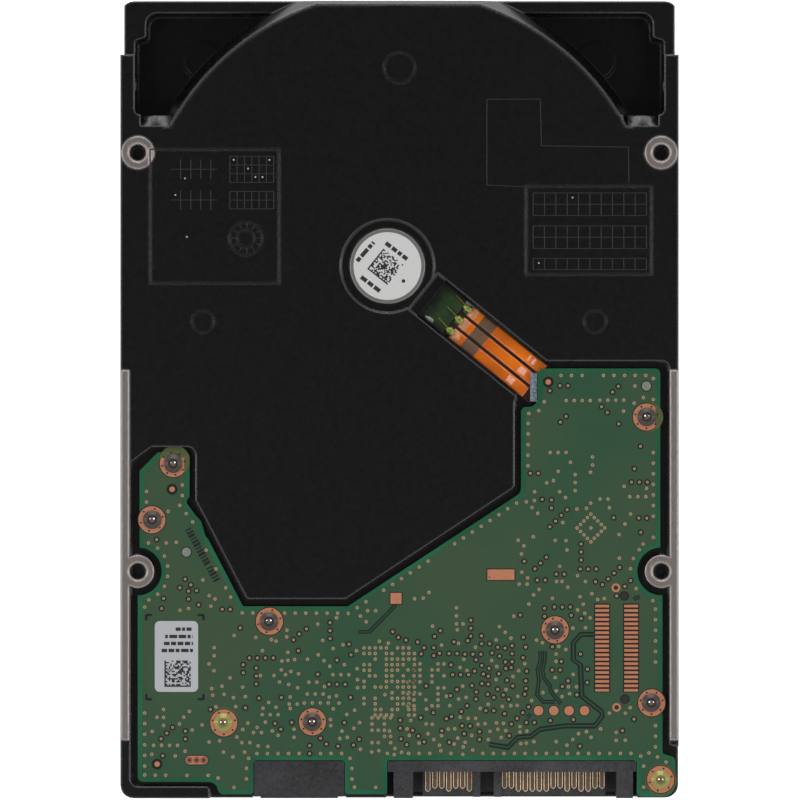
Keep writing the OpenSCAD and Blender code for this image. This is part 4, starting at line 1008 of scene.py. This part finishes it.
# ---------- Plug contacts ----------
def islands(node):
    """The frame boxes of a node's separate solids."""
    bm = welded(node)
    left, found = set(bm.verts), []
    while left:
        todo, seen = [left.pop()], []
        while todo:
            v = todo.pop()
            seen.append(v.co.copy())
            for e in v.link_edges:
                w = e.other_vert(v)
                if w in left:
                    left.remove(w)
                    todo.append(w)
        found.append(([min(c[i] for c in seen) for i in range(3)],
                      [max(c[i] for c in seen) for i in range(3)]))
    bm.free()
    return found


# Painted highlights round the contacts' tips: thin ridges in a far paler copy of their gold, where rounded
# edges catch the light; in from the edges, the taper's length, and the rim's section
RIM_INSET, RIM_BEND, RIM_WIDTH, RIM_HEIGHT = 0.06 * MM, 0.38 * MM, 0.13 * MM, 0.05 * MM
TIP_HALF = 0.1 * MM
contact_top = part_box("plug_power_contacts")[1][2]
gold_highlights = Relief("contact_highlights", contact_top, "gold_highlight")
for node in ("plug_signal_contacts", "plug_power_contacts"):
    for low, high in islands(node):
        x0, x1, tip, back = low[0] + RIM_INSET, high[0] - RIM_INSET, low[1] + RIM_INSET, high[1]
        bend, middle = low[1] + RIM_BEND, (x0 + x1) / 2
        line = [(x0, back), (x0, bend), (middle - TIP_HALF, tip), (middle + TIP_HALF, tip), (x1, bend),
                (x1, back)]
        gold_highlights.ridge(line, RIM_WIDTH, RIM_HEIGHT)
gold_highlights.done()


# ---------- Screw sockets ----------
def socket_floors():
    """Slightly hollow, polished floors in the screws' sockets, which catch the lamps."""
    bm = bmesh.new()
    base, r, height, n, rings = BOARD_TOP + 0.3 * MM, 0.5 * MM, 0.045 * MM, 24, 5
    curve = (r * r + height * height) / (2 * height)
    for low, high in islands("board_screws") + islands("board_screws_brass"):
        x, y = (low[0] + high[0]) / 2, (low[1] + high[1]) / 2
        top, last = bm.verts.new((x, y, base)), None
        for i in range(1, rings + 1):
            d = r * i / rings
            z = base + curve - math.sqrt(curve * curve - d * d)
            ring = [bm.verts.new((*p, z)) for p in circle(x, y, d, n)]
            if last:
                joined(bm, last, ring)
            else:
                fan(bm, top, ring)
            last = ring
    finished(bm, "socket_floors", ["socket"])


socket_floors()

# ---------- Motor flex ----------
flex_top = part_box("motor_flex")[1][2]


def along(u, v):
    """Millimetres along and across the flex's channel, as frame x and y."""
    c, s = math.cos(CHANNEL_ANGLE), math.sin(CHANNEL_ANGLE)
    return (SPINDLE.x + (CHANNEL_START[0] + u * c - v * s) * MM,
            SPINDLE.y + (CHANNEL_START[1] + u * s + v * c) * MM)


# The strips' lengths along the channel and their steps across it, in millimetres
STRIP_START = 10.35
STRIP_END = 27.6          # inside the foam and the board, where nothing shows
BARE_END = 11.9           # the film covers the strips from here on
DARK_BAND = (13.05, 15.9)
FOLD, FOLD_HEIGHT, FOLD_LENGTH = 23.2, 0.34, 1.6     # where the strips rise over a fold
LANE_STEP = 2.6
HALF_STRIP = 1.03


def flex_strips():
    """Three copper strips under amber film, each a sheet that ripples a little along its length."""
    bm = bmesh.new()
    steps, across = 64, 6
    step = (STRIP_END - STRIP_START) / steps
    for lane in (-1, 0, 1):
        rows = []
        for i in range(steps + 1):
            row = []
            for j in range(across + 1):
                v = lane * LANE_STEP + HALF_STRIP * (2 * j / across - 1)
                u = STRIP_START + step * i
                fold = FOLD_HEIGHT * math.exp(-((u - FOLD - 0.3 * lane) / FOLD_LENGTH) ** 2)
                lift = fold + 0.012 * math.sin(u * 2.1 + lane * 1.7)
                lift += 0.03 * (1 - abs(2 * j / across - 1) ** 4)
                row.append(bm.verts.new((*along(u, v), flex_top + (0.03 + max(0, lift)) * MM)))
            rows.append(row)
        for i, (a, b) in enumerate(zip(rows, rows[1:])):
            u = STRIP_START + step * (i + 0.5)
            for j in range(across):
                face = bm.faces.new((a[j], b[j], b[j + 1], a[j + 1]))
                face.smooth = True
                face.material_index = 1 if DARK_BAND[0] < u < DARK_BAND[1] else 2 if u < BARE_END else 0
        edge = [r[0] for r in rows] + rows[-1][1:-1] + [r[-1] for r in reversed(rows)] + rows[0][-2:0:-1]
        foot = [bm.verts.new((v.co.x, v.co.y, flex_top)) for v in edge]
        for i, _ in enumerate(edge):
            k = (i + 1) % len(edge)
            bm.faces.new((foot[i], foot[k], edge[k], edge[i])).material_index = 0
    finished(bm, "flex_strips", ["polyimide", "flex_band", "strip_end"])


flex_strips()


def blob(bm, u, v, base, ru, rv, height, mat=0, n=20, rings=7, ragged=0.0, seed=0):
    """A smooth drop on a face, long along the channel and with a slightly ragged rim."""
    rng = random.Random(seed)
    lobes = [(rng.uniform(0, math.tau), k) for k in (2, 3, 5)]
    top = bm.verts.new((*along(u, v), base + height))
    rows = []
    for i in range(1, rings + 1):
        t = math.pi / 2 * i / rings
        row = []
        for k in range(n):
            a = math.tau * k / n
            r = math.sin(t) * (1 + ragged * sum(math.sin(m * a + p) for p, m in lobes) / 2)
            row.append(bm.verts.new((*along(u + ru * r * math.cos(a), v + rv * r * math.sin(a)),
                                     base + height * math.cos(t))))
        rows.append(row)
    fan(bm, top, rows[0], mat)
    for a, b in zip(rows, rows[1:]):
        joined(bm, a, b, mat)


def solder_end():
    """Three domes of solder with their wires, sealant that clouds the strips' ends, and two smears."""
    bm = bmesh.new()
    for lane, seed in ((-1, 11), (0, 12), (1, 13)):
        v = lane * LANE_STEP
        blob(bm, 9.85, v + 0.05, flex_top, 0.95, 0.72, 0.62 * MM, 0, ragged=0.12, seed=seed)
        blob(bm, 10.95, v, flex_top + 0.03 * MM, 1.05, 1.0, 0.14 * MM, 1, ragged=0.2, seed=seed + 5)
        # a fine wire from each dome back into the sealant
        last = None
        for i in range(13):
            t = i / 12
            u, w = 9.3 - 2.6 * t, v + 0.25 + 0.35 * t
            z = flex_top + (0.52 - 0.12 * t) * MM
            ring = []
            for k in range(6):
                a = math.tau * k / 6
                x, y = along(u, w + 0.07 * math.cos(a))
                ring.append(bm.verts.new((x, y, z + 0.07 * MM * math.sin(a))))
            if last:
                joined(bm, last, ring, 2)
            last = ring
    blob(bm, 5.6, -3.2, flex_top, 0.95, 0.5, 0.5 * MM, 3, ragged=0.2, seed=21)
    blob(bm, 9.4, 3.5, flex_top, 0.9, 0.35, 0.42 * MM, 3, ragged=0.3, seed=22)
    finished(bm, "solder_end", ["solder", "cloudy", "wire", "smear"])


solder_end()

# ---------- Marks of the mould ----------
marks = Relief("mould_marks", DECK, "mark", "bare")


def mark(*points, width=0.16, height=0.02):
    marks.ridge([at_px(*p) for p in points], width * MM, height * MM)


def grid(left, top, columns, rows, wide, high):
    """Upright lines, then level ones, round a field of cells."""
    for i in range(columns + 1):
        mark((left + i * wide, top), (left + i * wide, top + rows * high))
    for i in range(rows + 1):
        mark((left, top + i * high), (left + columns * wide, top + i * high))


# Two lines of the left field with short ones across them: level, and the ends of the short ones
CROSSED_LINES = [(169.2, 159.5, 179), (199.9, 190.5, 209.5)]
CROSSED_ENDS, CROSSED_AT = (170.7, 217.3), (180.6, 190.8, 200.6, 210.8)
for level, high, low in CROSSED_LINES:
    mark((CROSSED_ENDS[0], level), (CROSSED_ENDS[1], level))
    for x in CROSSED_AT:
        mark((x, high), (x, low))
# Grids of the left and the right field: left, top, columns, rows, and a cell's width and height
GRIDS = [(229.8, 156.3, 6, 3, 7.317, 8.7), (229.8, 191.4, 6, 2, 7.317, 8.7),
         (533.2, 192.9, 10, 2, 11.33, 11.3), (533.2, 225.9, 10, 2, 11.33, 11.3),
         (533.2, 258.3, 10, 1, 11.33, 11.3)]
for place in GRIDS:
    grid(*place)
# Bright dots, and the date dial's spokes
BRIGHT_DOTS = [(233.7, 159.8), (269.4, 159.8), (248, 168.5), (255.4, 177), (262.4, 177), (184.9, 178.3),
               (175.3, 194.9), (186.8, 236.8), (572.6, 197.5), (538.9, 263.1)]
for place in BRIGHT_DOTS:
    marks.round(*place, (0.17, 0.06 * MM, 1, 10))
DIAL, SPOKES, SPOKE_ENDS = (246.9, 237.9), 12, (10.5, 15.5)
for spoke in zip(*(circle(*DIAL, r, SPOKES) for r in SPOKE_ENDS)):
    mark(*spoke)
# The right field's upper outline
FIELD_OUTLINE = [(525.8, 186.8), (486.9, 185), (486.9, 99.3), (540.2, 99), (541.5, 145.7), (628.4, 147),
                 (629, 183)]
mark(*FIELD_OUTLINE)
marks.done()


# The slopes into the far pockets: pixel rows of their top and foot, and the columns that they span
RAMP_TOP, RAMP_FOOT = 127, 114.8
RAMP_COLUMNS = [(140.5, 171.5), (627.5, 658.5)]
RAMP_DEPTH, RAMP_OVERLAP, RAMP_BASE = 1.0 * MM, 0.3 * MM, 3 * MM
RAMP_STEPS = 8


def pocket_ramps():
    """Shallow slopes that lead from the deck down into the far pockets."""
    top, foot, start = at_px(0, RAMP_TOP)[1], at_px(0, RAMP_FOOT)[1], DECK - 0.02 * MM
    profile = [(top - RAMP_OVERLAP, start)]
    for i in range(RAMP_STEPS + 1):
        t = i / RAMP_STEPS
        profile.append((top + (foot - top) * t, start - RAMP_DEPTH * t ** 1.25))
    profile += [(foot, DECK - RAMP_BASE), (top - RAMP_OVERLAP, DECK - RAMP_BASE)]
    bm = bmesh.new()
    for x0, x1 in RAMP_COLUMNS:
        ends = [[bm.verts.new((at_px(x, 0)[0], y, z)) for y, z in profile] for x in (x0, x1)]
        for i in range(len(profile)):
            j = (i + 1) % len(profile)
            bm.faces.new((ends[0][i], ends[1][i], ends[1][j], ends[0][j])).smooth = i <= RAMP_STEPS
        bm.faces.new(ends[0])
        bm.faces.new(ends[1][::-1])
    bmesh.ops.recalc_face_normals(bm, faces=bm.faces)
    finished(bm, "pocket_ramps", ["ecoat"])


pocket_ramps()


# ---------- Floor, light and camera ----------
def pale_floor():
    """A floor that shows white to the camera and in reflections, and still takes the shadow."""
    g = Graph("pale_floor", (0.86, 0.86, 0.86), 0.8)
    out = next(n for n in g.tree.nodes if n.type == "OUTPUT_MATERIAL")
    path = g.node("ShaderNodeLightPath").outputs
    bounced = g.most(path["Is Glossy Ray"], path["Is Transmission Ray"])
    seen = g.most(path["Is Camera Ray"], bounced)
    glow = g.node("ShaderNodeEmission", {0: (1.0, 1.0, 1.0, 1), 1: g.times(seen, 0.75)})
    both = g.node("ShaderNodeAddShader", {0: g.bsdf.outputs[0], 1: glow.outputs[0]})
    g.tree.links.new(both.outputs[0], out.inputs[0])
    bpy.ops.mesh.primitive_plane_add(size=6, location=(0, 0, -0.0004))
    floor = bpy.context.object
    floor.name = "floor"
    floor.data.materials.append(g.mat)


def softbox(name, at, size, power, target=(0, 0, 0.02)):
    data = bpy.data.lights.new(name, "AREA")
    data.shape = "RECTANGLE"
    data.size, data.size_y = size
    data.energy = power
    lamp = bpy.data.objects.new(name, data)
    lamp.location = at
    lamp.rotation_euler = (Vector(target) - Vector(at)).to_track_quat("-Z", "Y").to_euler()
    bpy.context.scene.collection.objects.link(lamp)


def room(horizon=1.28, zenith=0.1):
    """A pale room that is darker overhead, where the camera hangs."""
    world = bpy.data.worlds.new("room")
    bpy.context.scene.world = world
    world.use_nodes = True
    tree = world.node_tree
    up = tree.nodes.new("ShaderNodeSeparateXYZ")
    tree.links.new(tree.nodes.new("ShaderNodeTexCoord").outputs["Generated"], up.inputs[0])
    fade = tree.nodes.new("ShaderNodeMapRange")
    for key, value in {1: 0.5, 2: 0.93, 3: horizon, 4: zenith}.items():
        fade.inputs[key].default_value = value
    tree.links.new(up.outputs[2], fade.inputs[0])
    tree.nodes["Background"].inputs[0].default_value = (1, 1, 1, 1)
    tree.links.new(fade.outputs[0], tree.nodes["Background"].inputs[1])


pale_floor()
room()
softbox("left_box", (-1.1, 0.0, 0.75), (0.3, 1.4), 2.5)
softbox("right_box", (1.1, 0.0, 0.75), (0.3, 1.4), 2.5)
softbox("far_box", (0, 1.25, 0.7), (1.2, 0.3), 4)
softbox("near_left", (-0.4, -0.25, 1.45), (0.2, 0.2), 0.5)
softbox("near_right", (0.4, -0.25, 1.45), (0.2, 0.2), 0.5)

CAMERA_HEIGHT = 1.5
camera = bpy.data.cameras.new("camera")
camera.sensor_width = 36
camera.lens = 36 * (CAMERA_HEIGHT - TOP) / (800 / PX_PER_MM * MM)
camera.clip_start, camera.clip_end = 0.05, 20
camera_object = bpy.data.objects.new("camera", camera)
centre = at_px(400, 400)
camera_object.location = (centre[0], centre[1], CAMERA_HEIGHT)
bpy.context.scene.collection.objects.link(camera_object)
bpy.context.scene.camera = camera_object

bpy.context.scene.view_settings.view_transform = "Standard"
